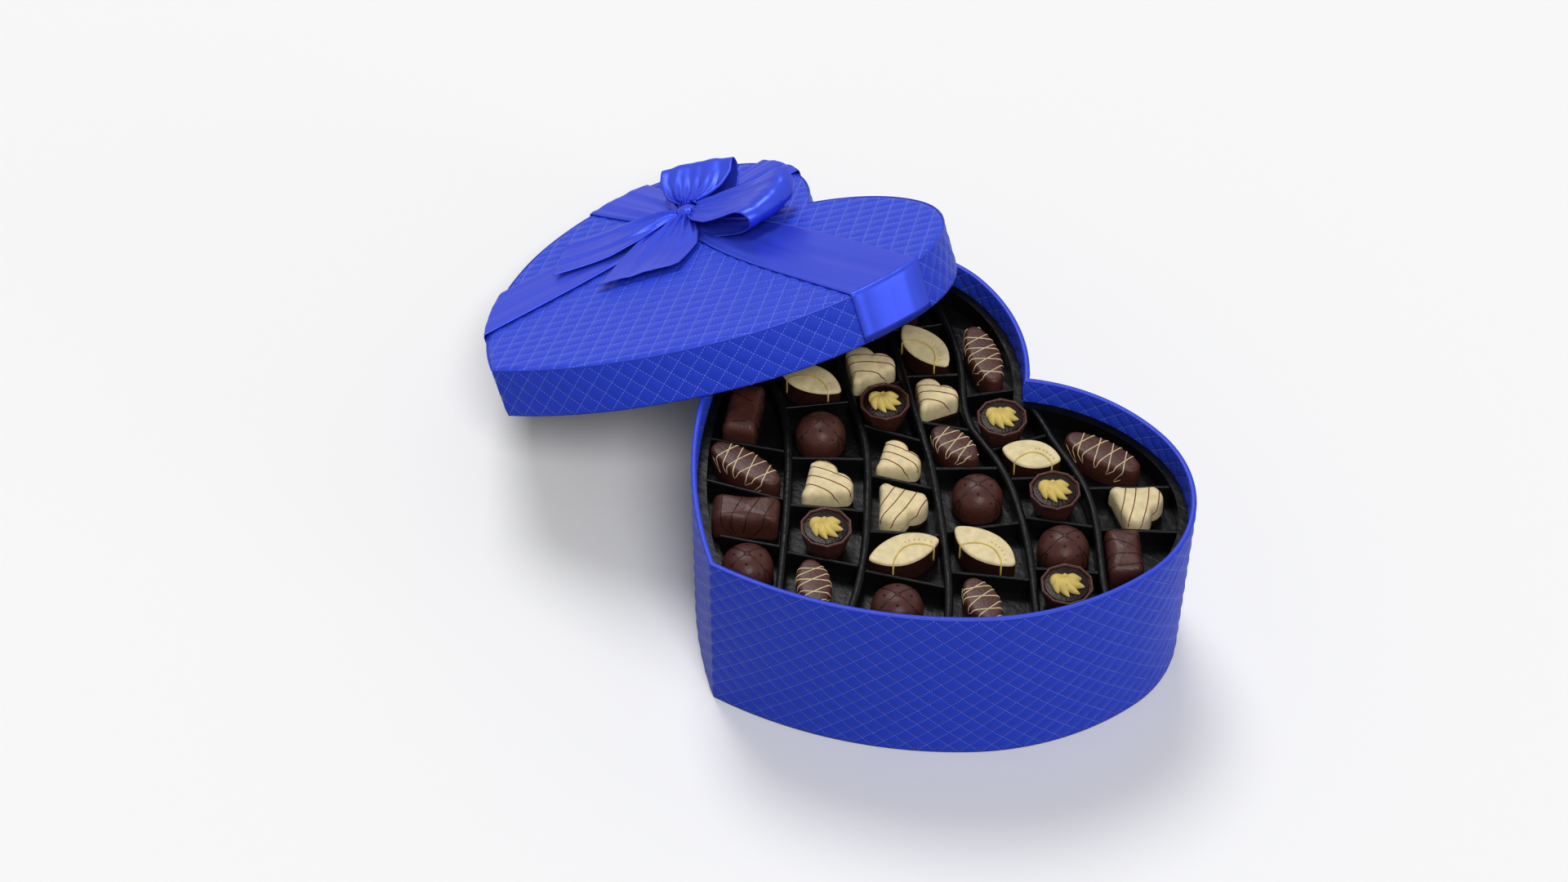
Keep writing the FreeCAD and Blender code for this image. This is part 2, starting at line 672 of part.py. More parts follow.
def bow_piece(label, heading, path, outline_points):
    """Curved ribbon that leaves the knot: a strip along its path, cut to its outline from above."""
    piece = doc.addObject("Part::Feature", label + "_sheet")
    width, tall = size("2 * ribbon_width"), size("4 * loop_bulb")
    side = strip([Vector(x, z) for x, z in path], size("ribbon_thick"))
    side.rotate(Vector(), Vector(1, 0, 0), 90)
    side.translate(Vector(0, width / 2, 0))
    ribbon = side.extrude(Vector(0, -width, 0))
    corners = [Vector(x, y, -tall) for x, y in outline_points]
    plan = Part.Face(Part.makePolygon(corners + corners[:1])).extrude(Vector(0, 0, 2 * tall))
    for shape in (ribbon, plan):
        shape.rotate(Vector(), Vector(0, 0, 1), heading)
    piece.Shape = ribbon.common(plan).Solids[0]
    keep(label, lean(piece, "ribbon_x + knot_shift", "ribbon_y", BAND_TOP))


def bow_loop(label, heading, share_of_full):
    """Loop that runs out along the lid, turns over its round end and comes back to the knot."""
    start, rise = size("knot_width / 2 + knot_room"), size("loop_rise")
    reach, bulb = size("loop_length") * share_of_full, size("loop_bulb") * share_of_full
    path = [(share * reach, rise + up * bulb) for share, up in LOOP_PATH]
    path = [(start, rise)] + path + [(start, rise + LOOP_RETURN * bulb)]
    bow_piece(label, heading, path, fan(start, reach + size("ribbon_thick"), 0))


def bow_tail(label, heading, slant):
    """Tail that drops from the knot to the lid and ends in a slanted cut."""
    start, reach, lift = size("knot_width / 2 + knot_room"), size("tail_length"), size("tail_lift")
    path = [(start, lift + TAIL_START)] + [(share * reach, lift + up) for share, up in TAIL_PATH]
    bow_piece(label, heading, path, fan(start, reach, slant))


def fan(start, reach, slant):
    """Outline from above: gathered at the knot, full width further out, cut off at a slant."""
    gather, half = size("gather_width / 2"), size("ribbon_width / 2")
    skew = half * math.tan(math.radians(slant))
    full = start + FULL_WIDTH_AT * (reach - start)
    return [(start, -gather), (full, -half), (reach - skew, -half), (reach + skew, half),
            (full, half), (start, gather)]


lid_ring("lid_rim", f"({LID_INSIDE} - lid_wall)", LID_INSIDE, f"{LID_BOARD_BASE} - glue_line")
lid_plate("lid_top_board", f"({LID_INSIDE} - lid_wall)", LID_BOARD_BASE, "lid_board")
lid_plate("lid_padding_sheet", f"({LID_INSIDE} - lid_wall)",
          f"{LID_BOARD_BASE} + lid_board + glue_line", "lid_padding")
lid_ring("lid_side_cover", LID_OUTSIDE, LID_SIDE, "lid_height - lid_cover - glue_line")
lid_plate("lid_top_cover", LID_OUTSIDE, "lid_height - lid_cover", "lid_cover")
band("crosswise_band", 0, "2 * box_width", "ribbon_width", "0", "ribbon_y")
band("lengthwise_band", 1, "ribbon_width", "2 * box_length", "ribbon_x", "0")
for loop_label, (loop_heading, loop_share) in BOW_LOOPS.items():
    bow_loop(loop_label, loop_heading, loop_share)
for tail_label, (tail_heading, tail_slant) in BOW_TAILS.items():
    bow_tail(tail_label, tail_heading, tail_slant)

knot = doc.addObject("Part::Ellipsoid", "knot")
knot.Angle1 = 0
bind(knot, Radius1="knot_height", Radius2="knot_width / 2", Radius3="knot_depth / 2")
keep("bow_knot", lean(knot, "ribbon_x + knot_shift", "ribbon_y", f"{BAND_TOP} + glue_line"))

doc.recompute()
faults = [f"{thing.Name}: {thing.State}" for thing in doc.Objects
          if "Invalid" in thing.State or "Error" in thing.State]
faults += [f"{node.Label}: shape" for node in nodes
           if node.Shape.isNull() or not node.Shape.isValid() or len(node.Shape.Solids) != 1]
if faults:
    raise RuntimeError("; ".join(faults))
os.makedirs("parts", exist_ok=True)
for node in nodes:
    node.Shape.exportStep(f"parts/{node.Label}.step")
print(len(nodes), "pieces")
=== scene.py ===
import json
import math
from functools import partial

import bpy
import numpy as np
from mathutils import Matrix, Vector
from mathutils.geometry import delaunay_2d_cdt


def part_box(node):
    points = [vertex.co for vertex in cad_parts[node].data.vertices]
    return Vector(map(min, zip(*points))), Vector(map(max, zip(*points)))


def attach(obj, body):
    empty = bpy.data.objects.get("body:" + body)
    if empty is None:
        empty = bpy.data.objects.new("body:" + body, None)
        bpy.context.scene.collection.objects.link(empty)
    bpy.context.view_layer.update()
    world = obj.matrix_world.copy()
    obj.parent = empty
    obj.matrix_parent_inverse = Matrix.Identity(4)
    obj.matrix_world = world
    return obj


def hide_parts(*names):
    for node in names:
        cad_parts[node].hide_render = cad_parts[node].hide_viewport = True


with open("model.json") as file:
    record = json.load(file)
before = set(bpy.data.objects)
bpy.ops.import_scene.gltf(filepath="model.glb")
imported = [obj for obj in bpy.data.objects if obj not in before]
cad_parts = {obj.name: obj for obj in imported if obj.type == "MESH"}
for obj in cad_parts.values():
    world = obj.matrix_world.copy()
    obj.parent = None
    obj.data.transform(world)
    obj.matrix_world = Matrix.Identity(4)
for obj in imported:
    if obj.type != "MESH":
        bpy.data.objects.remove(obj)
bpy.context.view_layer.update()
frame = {"nodes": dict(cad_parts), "record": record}

bl_info = {
    "name": "Praline box",
    "version": (1, 0, 0),
    "blender": (4, 5, 0),
    "location": "View3D > Sidebar > Praline box",
    "description": "Dresses a heart-shaped box of pralines with its leatherette, satin and sweets",
    "category": "Add Mesh",
}

# Shapes are worked out in millimetres in the frame of the CAD model and stored in metres.
MM = 0.001

# Heart outline, as in the solids: middle line to a lobe's top, lobes' top down to the notch,
# and the round and sweep of the shoulders.
LOBE_OFFSET = 72
NOTCH_DEPTH = 28.7
FLANK_RADIUS = 150
FLANK_SWEEP = math.radians(36)

# Layers of the walls, as insets from the base's outside. The lid's are negative.
COVER_FACE = 0.1
COVER_BACK = 0.6
LINING_BACK = 2.35
LINING_FACE = 2.82
LID_FACE = -1.96
LID_BACK = -1.5
PADDING_EDGE = -1.4

# Heights of the base, of the lid to the top of its cover, and of the board under its padding.
BASE_HEIGHT = 108.6
LID_HEIGHT = 28.9
LID_PAD_BASE = 25.84

# Lean of the lid: from the base's left side out to the lid's foot, and in to the place where the lid
# meets the rim's height, with a gap left under it at both.
LID_FOOT = 168.4
LID_REST = 44.3
LID_GAP = 0.25

# Ribbon: middle lines of its bands and the knot, from the middle of the lid.
BAND_Y = 48
BAND_X = -67
KNOT_X = -57

# Camera: place in metres, degrees below level and left of +Y, and lens, in millimetres. They were
# solved from the heart's rim, the walls and the lid in the photograph.
CAMERA_PLACE = (0.77744, -0.67365, 1.23899)
CAMERA_DIP = 47.453
CAMERA_HEADING = 52.3216
CAMERA_LENS = 67.61
SENSOR_WIDTH = 36

BODY_OF = {node: body for body, nodes in frame["record"]["behaviour"]["bodies"].items()
           for node in nodes}


def linear(hex_colour):
    """Linear colour of an sRGB hex value."""
    shares = [int(hex_colour[k:k + 2], 16) / 255 for k in (0, 2, 4)]
    return [s / 12.92 if s <= 0.04045 else ((s + 0.055) / 1.055) ** 2.4 for s in shares]


def colour_setting(name, description, hex_colour):
    """Colour that a user may change."""
    return bpy.props.FloatVectorProperty(name=name, description=description, subtype="COLOR",
                                         default=linear(hex_colour), min=0, max=1)


def length_setting(name, description, millimetres):
    """Length that a user may change, kept in metres."""
    return bpy.props.FloatProperty(name=name, description=description, unit="LENGTH",
                                   default=millimetres * MM, min=0)


class PralineBoxSizes(bpy.types.PropertyGroup):
    """Sizes of the dressing."""
    quilt_pitch: length_setting("Quilt pitch", "Corner to corner of a quilted square", 11.2)
    top_pitch: length_setting("Top pitch", "Corner to corner of a square on the lid's top", 13.2)
    quilt_rise: length_setting("Quilt rise", "Height of a quilted square over its seams", 0.85)
    stitch_length: length_setting("Stitch length", "One stitch and the gap after it", 1.8)
    stitch_width: length_setting("Stitch width", "Width of a stitched line", 0.36)
    mesh_step: length_setting("Mesh step", "Distance between points on the quilting", 1.34)
    ribbon_width: length_setting("Ribbon width", "Satin ribbon from edge to edge", 45)
    ribbon_thickness: length_setting("Ribbon thickness", "Satin ribbon thickness", 0.45)
    loop_length: length_setting("Loop length", "Knot to the end of a bow loop", 72)
    tail_length: length_setting("Tail length", "Knot to the cut end of a bow tail", 78)


class PralineBoxColours(bpy.types.PropertyGroup):
    """Colours of the dressing."""
    leatherette: colour_setting("Leatherette", "Quilted cover and lining", "2742ce")
    stitch: colour_setting("Stitches", "Thread of the quilting", "6b84f8")
    edging: colour_setting("Edging", "Turned edge along the rim", "263cc0")
    satin: colour_setting("Satin", "Ribbon and bow", "384bd0")
    paper: colour_setting("Facing paper", "Boards inside the lid and under the base", "2b3590")
    tray: colour_setting("Tray", "Black sheet of the tray", "0b0b0c")
    milk: colour_setting("Milk chocolate", "Domes, bars, ovals and cups", "45251f")
    dark: colour_setting("Dark chocolate", "Leaves and the feet of the hearts", "2b1613")
    ganache: colour_setting("Ganache", "Filling of the cups", "1a0c0a")
    ivory: colour_setting("White chocolate", "Hearts and the tops of the leaves", "d2c196")
    drizzle: colour_setting("Drizzle", "Lines over the ovals", "c8b68c")
    stripe: colour_setting("Stripes", "Lines over the hearts", "6b2d18")
    icing: colour_setting("Icing", "Swirls on the cups and lines on the leaves", "c6ae60")
    floor: colour_setting("Floor", "Studio paper under the box", "ededed")
    backdrop: colour_setting("Backdrop", "Room around the box", "f8f8f8")


def sizes():
    """The sizes, in metres."""
    return bpy.context.scene.praline_box_sizes


def colours():
    """The colours, linear."""
    return bpy.context.scene.praline_box_colours


# Meshes

def smooth(share):
    """Ease from 0 to 1 with level ends."""
    share = np.clip(share, 0, 1)
    return share * share * (3 - 2 * share)


def unit(vectors):
    """Vectors scaled to a length of 1."""
    return vectors / np.maximum(np.linalg.norm(vectors, axis=-1, keepdims=True), 1e-9)


def unit_ring(turns):
    """Level points on a circle of radius 1, at angles in radians."""
    return np.column_stack([np.cos(turns), np.sin(turns)])


def raised(line, height):
    """Points of a level line at a height."""
    return np.column_stack([line, np.full(len(line), height)])


def turned(points, degrees):
    """Level points turned about the origin."""
    ahead, aside = math.cos(math.radians(degrees)), math.sin(math.radians(degrees))
    return np.asarray(points, float) @ np.array([[ahead, aside], [-aside, ahead]])


def distances_along(line):
    """Distance along an open line to each of its points."""
    return np.concatenate([[0], np.cumsum(np.linalg.norm(np.diff(line, axis=0), axis=1))])


class Shape:
    """Points and faces of a piece, gathered patch by patch."""

    def __init__(self):
        self.points, self.faces, self.finish, self.chart = [], [], [], []

    def add(self, points, faces, finish=0, chart=None):
        """Add a patch. The chart gives each point's place in the material's pattern."""
        start = len(self.points)
        self.points += np.asarray(points, float).tolist()
        self.faces += [[start + k for k in face] for face in faces]
        self.finish += [finish] * len(faces)
        self.chart += np.asarray(points if chart is None else chart, float)[:, :2].tolist()
        return self

    def add_net(self, points, around=False, finish=0, chart=None, ends=False):
        """Add a rows-by-columns net of quads. If asked, it closes around its columns and has a face
        over its first and last rows."""
        index = np.arange(points.shape[0] * points.shape[1]).reshape(points.shape[:2])
        caps = [index[0, ::-1].tolist(), index[-1].tolist()] if ends else []
        if around:
            index = np.hstack([index, index[:, :1]])
        quads = np.stack([index[:-1, :-1], index[:-1, 1:], index[1:, 1:], index[1:, :-1]], axis=-1)
        return self.add(points.reshape(-1, 3), quads.reshape(-1, 4).tolist() + caps, finish,
                        None if chart is None else chart.reshape(-1, 2))

    def piece(self, name, nodes, finishes, slot, place=None, crease=50):
        """Make the object, which stands for these CAD nodes and rides on their body. Edges sharper
        than the crease, in degrees, stay sharp."""
        mesh = bpy.data.meshes.new(name)
        mesh.from_pydata((np.asarray(self.points) * MM).tolist(), [], self.faces)
        for finish in finishes:
            mesh.materials.append(finish)
        mesh.polygons.foreach_set("material_index", self.finish)
        corners = np.empty(len(mesh.loops), int)
        mesh.loops.foreach_get("vertex_index", corners)
        chart = mesh.uv_layers.new(name="Chart")
        chart.data.foreach_set("uv", (np.asarray(self.chart)[corners] * MM).ravel())
        if place is not None:
            mesh.transform(place)
        mesh.shade_smooth()
        mesh.set_sharp_from_angle(angle=math.radians(crease))
        mesh.validate()
        thing = bpy.data.objects.new(name, mesh)
        bpy.context.scene.collection.objects.link(thing)
        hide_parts(*nodes)
        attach(thing, BODY_OF[nodes[0]])
        return thing


def thicken(ribbon):
    """Give a ribbon its thickness, half on each side."""
    solidify = ribbon.modifiers.new("Thickness", "SOLIDIFY")
    solidify.thickness = sizes().ribbon_thickness
    solidify.offset = 0


def weld(thing):
    """Join the points that a seam has twice."""
    modifier = thing.modifiers.new("Weld", "WELD")
    modifier.merge_threshold = 0.02 * MM


# Heart outline

def heart_arcs(inset):
    """Right half of the heart from its point to its notch: centre, radius and two angles an arc."""
    low, high = (np.array(corner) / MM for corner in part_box("base_cover"))
    half, top = (high[0] - low[0]) / 2, (high[1] - low[1]) / 2
    notch_round = (LOBE_OFFSET ** 2 + NOTCH_DEPTH ** 2) / (2 * NOTCH_DEPTH)
    lobe_round = half - LOBE_OFFSET
    side_y = top - lobe_round
    inward = np.array([-math.cos(FLANK_SWEEP), math.sin(FLANK_SWEEP)])
    hip = np.array([half - FLANK_RADIUS, side_y]) - inward * FLANK_RADIUS
    chord = np.array([0, -top]) - hip
    flank_round = chord @ chord / (2 * chord @ inward)
    flank_x, flank_y = hip + inward * flank_round
    notch_y = top - notch_round
    point_angle = -math.acos(-flank_x / (flank_round - inset))
    notch_angle = math.acos(-LOBE_OFFSET / (notch_round - inset))
    return [((flank_x, flank_y), flank_round - inset, point_angle, -FLANK_SWEEP),
            ((half - FLANK_RADIUS, side_y), FLANK_RADIUS - inset, -FLANK_SWEEP, 0),
            ((LOBE_OFFSET, side_y), lobe_round - inset, 0, math.pi / 2),
            ((LOBE_OFFSET, notch_y), notch_round - inset, math.pi / 2, notch_angle)]


def heart_half(inset, step):
    """Points of the right half, from the point to the notch, alike in number at every inset."""
    fewest, points = 6, []
    for (centre, radius, start, end), (_, full, first, last) in zip(heart_arcs(inset), heart_arcs(0)):
        count = max(fewest, round(full * (last - first) / step)) + 1
        ring = unit_ring(np.linspace(start, end, count)) * radius + centre
        points.append(ring[1:] if points else ring)
    return np.vstack(points)


def heart_line(inset, step):
    """Closed line around the heart, anticlockwise from its point."""
    right = heart_half(inset, step)
    left = right[::-1] * (-1, 1)
    return np.vstack([right, left[1:-1]])


def run_of(line):
    """Distance along a closed line to each of its points, and its whole length."""
    steps = np.linalg.norm(np.roll(line, -1, axis=0) - line, axis=1)
    return distances_along(line), steps.sum()


def in_heart(points, line):
    """Which points lie inside a closed line."""
    inside = np.zeros(len(points), bool)
    for (x0, y0), (x1, y1) in zip(line, np.roll(line, -1, axis=0)):
        crosses = (y0 > points[:, 1]) != (y1 > points[:, 1])
        if crosses.any():
            at = x0 + (points[:, 1] - y0) / (y1 - y0 + 1e-12) * (x1 - x0)
            inside ^= crosses & (points[:, 0] < at)
    return inside


def gap_to(line, points):
    """Distance from each point to the nearest point of a line, in parts that save memory."""
    return np.concatenate([np.sqrt(((part[:, None] - line[None]) ** 2).sum(axis=2)).min(axis=1)
                           for part in np.array_split(points, 40)])


def lid_place():
    """Matrix that tilts a level lid into its place beside the base."""
    tilt = math.atan2(BASE_HEIGHT + LID_GAP, LID_FOOT + LID_REST)
    low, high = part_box("base_cover")
    half = (high[0] - low[0]) / 2
    reach = half - LID_FACE * MM
    shift = Vector((math.cos(tilt) * reach - half - LID_FOOT * MM, 0,
                    math.sin(tilt) * reach + LID_GAP * MM))
    return Matrix.Translation(shift) @ Matrix.Rotation(-tilt, 4, "Y")


# Materials

def fill(socket, value):
    """Link an input to another node's output, or set its value."""
    if isinstance(value, bpy.types.NodeSocket):
        socket.id_data.links.new(value, socket)
    elif value is not None:
        socket.default_value = value


def add_node(tree, kind, *inputs, output=None, **settings):
    """Add a node with its settings, fill the inputs in use, in order, from outputs or values, and
    return the named output, or else the first in use."""
    node = tree.nodes.new(kind)
    for name, value in settings.items():
        setattr(node, name, value)
    for socket, value in zip([socket for socket in node.inputs if socket.enabled], inputs):
        fill(socket, value)
    return node.outputs[output] if output else next((s for s in node.outputs if s.enabled), None)


def dress(shader, **sockets):
    """Fill a shader's sockets by name, with _ for a space."""
    for name, value in sockets.items():
        fill(shader.inputs[name.replace("_", " ")], value)


def material(name, **sockets):
    """Material made afresh, with values set on its shader's own sockets, and that shader."""
    made = bpy.data.materials.get(name) or bpy.data.materials.new(name)
    made.use_nodes = True
    made.node_tree.nodes.clear()
    surface = add_node(made.node_tree, "ShaderNodeBsdfPrincipled")
    add_node(made.node_tree, "ShaderNodeOutputMaterial", surface)
    dress(surface.node, **sockets)
    return made, surface.node


def opaque(colour):
    """Colour with a full alpha."""
    return (*colour, 1)


def speckle(shader, colour, spread, grain, bump, roughness):
    """Colour that varies softly by its spread, with a fine bump and an uneven gloss, at a grain in
    millimetres. The clouds of colour are two and a half grains wide."""
    tree, clouds, swing = shader.id_data, 0.4, 0.05
    noise_low, noise_high = 0.3, 0.7
    place = add_node(tree, "ShaderNodeTexCoord", output="Object")
    cloud = add_node(tree, "ShaderNodeTexNoise", place, clouds / (grain * MM), 3)
    share = add_node(tree, "ShaderNodeMapRange", cloud, noise_low, noise_high, 0, 1)
    dim, bright = (opaque(np.array(colour) * level) for level in (1 - spread, 1 + spread))
    mixed = add_node(tree, "ShaderNodeMix", share, dim, bright, data_type="RGBA")
    gloss = add_node(tree, "ShaderNodeMapRange", cloud, noise_low, noise_high,
                     roughness - swing, roughness + swing)
    fine = add_node(tree, "ShaderNodeTexNoise", place, 1 / (grain * MM), 2)
    relief = add_node(tree, "ShaderNodeBump", bump, grain * MM, None, fine)
    dress(shader, Base_Color=mixed, Roughness=gloss, Normal=relief)


def leatherette():
    """Embossed polyurethane on cloth: a fine leather grain, a satin coat that pales at a low
    angle, and dotted rows of lighter thread along the seams between the squares."""
    look, size = colours(), sizes()
    made, shader = material("quilted_leatherette", Sheen_Weight=0.05, Sheen_Roughness=0.4,
                            Sheen_Tint=opaque(linear("aab4ff")), Specular_IOR_Level=0.14)
    tree = made.node_tree
    grain_width, grain_depth, grain_edge = 0.9 * MM, 0.25 * MM, 0.6
    least_rough, most_rough = 0.36, 0.46
    # Along a seam the sum or the difference grows about 1.4 times as fast as the thread's length.
    half_stitch = size.stitch_length * 0.7
    gap_end, stitch_start = size.stitch_length * 0.2, size.stitch_length * 0.35
    chart = add_node(tree, "ShaderNodeUVMap")
    along, up, _ = add_node(tree, "ShaderNodeSeparateXYZ", chart).node.outputs
    rising = add_node(tree, "ShaderNodeMath", along, up, operation="ADD")
    falling = add_node(tree, "ShaderNodeMath", along, up, operation="SUBTRACT")
    stitches = []
    for across, beside in ((rising, falling), (falling, rising)):
        off_seam = add_node(tree, "ShaderNodeMath", across, size.quilt_pitch / 2, operation="PINGPONG")
        on_seam = add_node(tree, "ShaderNodeMapRange", off_seam, size.stitch_width / 2,
                           size.stitch_width, 1, 0)
        off_gap = add_node(tree, "ShaderNodeMath", beside, half_stitch, operation="PINGPONG")
        dash = add_node(tree, "ShaderNodeMapRange", off_gap, gap_end, stitch_start, 0, 1)
        stitches.append(add_node(tree, "ShaderNodeMath", on_seam, dash, operation="MULTIPLY"))
    thread = add_node(tree, "ShaderNodeMath", *stitches, operation="MAXIMUM")
    mixed = add_node(tree, "ShaderNodeMix", thread, opaque(look.leatherette), opaque(look.stitch),
                     data_type="RGBA")
    place = add_node(tree, "ShaderNodeTexCoord", output="Object")
    grain = add_node(tree, "ShaderNodeTexVoronoi", place, 1 / grain_width)
    gloss = add_node(tree, "ShaderNodeMapRange", grain, 0, grain_edge, least_rough, most_rough)
    height = add_node(tree, "ShaderNodeMath", grain, thread, operation="ADD")
    relief = add_node(tree, "ShaderNodeBump", 0.35, grain_depth, None, height)
    dress(shader, Base_Color=mixed, Roughness=gloss, Normal=relief)
    return made


def satin():
    """Polyester satin: long floats of thread that mirror the light in their own colour, so part of
    the shine is a metal's, with a faint weave, drawn coarser than real so that it shows."""
    made, shader = material("polyester_satin", Metallic=0.45, Roughness=0.32, Specular_IOR_Level=0.4,
                            Specular_Tint=opaque(linear("8296ff")), Anisotropic=0.4)
    tree, colour = made.node_tree, np.array(colours().satin)
    thread_width, thread_depth, width_to_length, spread = 0.5 * MM, 0.1 * MM, 0.08, 0.06
    chart = add_node(tree, "ShaderNodeUVMap")
    drawn_out = add_node(tree, "ShaderNodeMapping", chart, None, None, (1, width_to_length, 1))
    thread = add_node(tree, "ShaderNodeTexNoise", drawn_out, 1 / thread_width, 2)
    mixed = add_node(tree, "ShaderNodeMix", thread, opaque(colour * (1 - spread)),
                     opaque(colour * (1 + spread)), data_type="RGBA")
    relief = add_node(tree, "ShaderNodeBump", 0.05, thread_depth, None, thread)
    dress(shader, Base_Color=mixed, Normal=relief)
    return made


def edging():
    """Smooth polyurethane turned over the rim: a little shiny, with hardly any grain."""
    made, shader = material("turned_leatherette_edge", Specular_IOR_Level=0.25)
    speckle(shader, colours().edging, spread=0.05, grain=0.8, bump=0.15, roughness=0.4)
    return made


def facing_paper():
    """Greyboard faced with dyed paper: matt, with a faint cloud of fibres."""
    made, shader = material("faced_greyboard", Specular_IOR_Level=0.3)
    speckle(shader, colours().paper, spread=0.08, grain=1.2, bump=0.2, roughness=0.75)
    return made


def moulded_sheet():
    """Thermoformed polystyrene: black and glossy, slightly wavy where it was drawn."""
    made, shader = material("thermoformed_polystyrene", Specular_IOR_Level=0.1)
    speckle(shader, colours().tray, spread=0.2, grain=6, bump=0.08, roughness=0.3)
    return made


def chocolate(name, colour, roughness=0.36, shine=0.18):
    """Tempered chocolate from a mould: satin, with soft clouds of bloom and a fine pitted skin."""
    made, shader = material(name, Specular_IOR_Level=shine, Subsurface_Weight=0.05,
                            Subsurface_Scale=1.5 * MM)
    speckle(shader, colour, spread=0.12, grain=1.6, bump=0.12, roughness=roughness)
    return made


def milk_chocolate():
    """Milk chocolate: warm brown, with the satin of a mould."""
    return chocolate("milk_chocolate", colours().milk)


def dark_chocolate():
    """Dark chocolate: blackish brown and a little glossier."""
    return chocolate("dark_chocolate", colours().dark, roughness=0.34)


def ganache():
    """Set ganache: nearly black and smooth, as butter fat leaves it."""
    return chocolate("ganache", colours().ganache, roughness=0.25, shine=0.1)


def white_chocolate():
    """White chocolate: ivory, slightly mottled and a little translucent."""
    return chocolate("white_chocolate", colours().ivory, roughness=0.45)


def drizzle():
    """White chocolate in thin lines, which look darker than a thick piece."""
    return chocolate("white_chocolate_drizzle", colours().drizzle, roughness=0.4)


def stripes():
    """Coloured chocolate in thin lines."""
    return chocolate("chocolate_stripes", colours().stripe, roughness=0.4)


def icing():
    """Piped yellow icing: matt and smooth."""
    return chocolate("piped_icing", colours().icing, roughness=0.5)


def seen(tree):
    """1 for the rays that show a thing, directly, in a reflection or through glass, and else 0."""
    path = add_node(tree, "ShaderNodeLightPath").node.outputs
    shown = add_node(tree, "ShaderNodeMath", path["Is Camera Ray"], path["Is Glossy Ray"],
                     operation="MAXIMUM")
    return add_node(tree, "ShaderNodeMath", shown, path["Is Transmission Ray"], operation="MAXIMUM")


def studio_paper():
    """Matt white studio paper, which throws back less light than it shows."""
    made, shader = material("studio_paper", Roughness=0.9, Specular_IOR_Level=0.1)
    thrown_back = opaque([0.1] * 3)
    dress(shader, Base_Color=add_node(made.node_tree, "ShaderNodeMix", seen(made.node_tree), thrown_back,
                                      opaque(colours().floor), data_type="RGBA"))
    return made


# Box

def pillow(along, up, pitch):
    """Height of the quilting, from 0 on its seams to 1 in the middle of a square."""
    rising = np.abs(np.sin(np.pi * (along + up) / pitch))
    falling = np.abs(np.sin(np.pi * (along - up) / pitch))
    return np.sqrt(rising * falling)


def quilted_wall(face, back, bottom, top, out=1):
    """Band of quilting that follows the heart. The squares swell outwards, or inwards for out -1."""
    step, rise, square = sizes().mesh_step / MM, sizes().quilt_rise / MM, sizes().quilt_pitch / MM
    hem_width, fewest, sunk = 1.5, 3, 0.5      # sunk: share of the rise that lies below the face
    run, whole = run_of(heart_line(0, step))
    pitch = whole / round(whole / square)
    heights = np.linspace(bottom, top, max(fewest, round((top - bottom) / step)) + 1)
    along, up = np.meshgrid(run, heights)
    hem = smooth((up - bottom) / hem_width) * smooth((top - up) / hem_width)
    swell = out * (pillow(along, up, pitch) - sunk) * rise * hem
    # The quilting lies between two lines that run 1 mm to each side of its face.
    inside, outside = heart_line(face + 1, step), heart_line(face - 1, step)
    front = np.dstack([outside + (inside - outside) * ((1 - swell) / 2)[:, :, None], up])
    behind = heart_line(back, step)
    ring = np.concatenate([front, [raised(behind, top), raised(behind, bottom)], front[:1]])
    # The chart stretches the squares to the material's own pitch.
    stretch = square / pitch
    chart = np.dstack([along, up]) * stretch
    chart = np.concatenate([chart, chart[-1:], chart[:1], chart[:1]])
    closed = np.concatenate([ring, ring[:, :1]], axis=1)
    closed_chart = np.concatenate([chart, chart[:, :1] + [whole * stretch, 0]], axis=1)
    # The lining's faces turn the other way.
    way = slice(None, None, out)
    return Shape().add_net(closed[:, way], chart=closed_chart[:, way])


def bead(path, radius, sides=6, closed=False):
    """Rings of a round bead along a path, which taper to a point unless the path is closed."""
    upward, end_radius = 6, 0.05
    if closed:
        path = np.vstack([path, path[:1]])
    along, radii = np.gradient(path, axis=0), np.full(len(path), radius, float)
    if closed:
        along[0] = along[-1] = path[1] - path[-2]
    else:
        radii[0] = radii[-1] = end_radius
    side = unit(np.cross(along, path * (1, 1, 0) + (0, 0, upward)))
    over = unit(np.cross(side, along))
    turns = np.linspace(0, 2 * np.pi, sides, endpoint=False)[:, None]
    ring = side[:, None] * np.cos(turns) + over[:, None] * np.sin(turns)
    return path[:, None] + ring * radii[:, None, None]


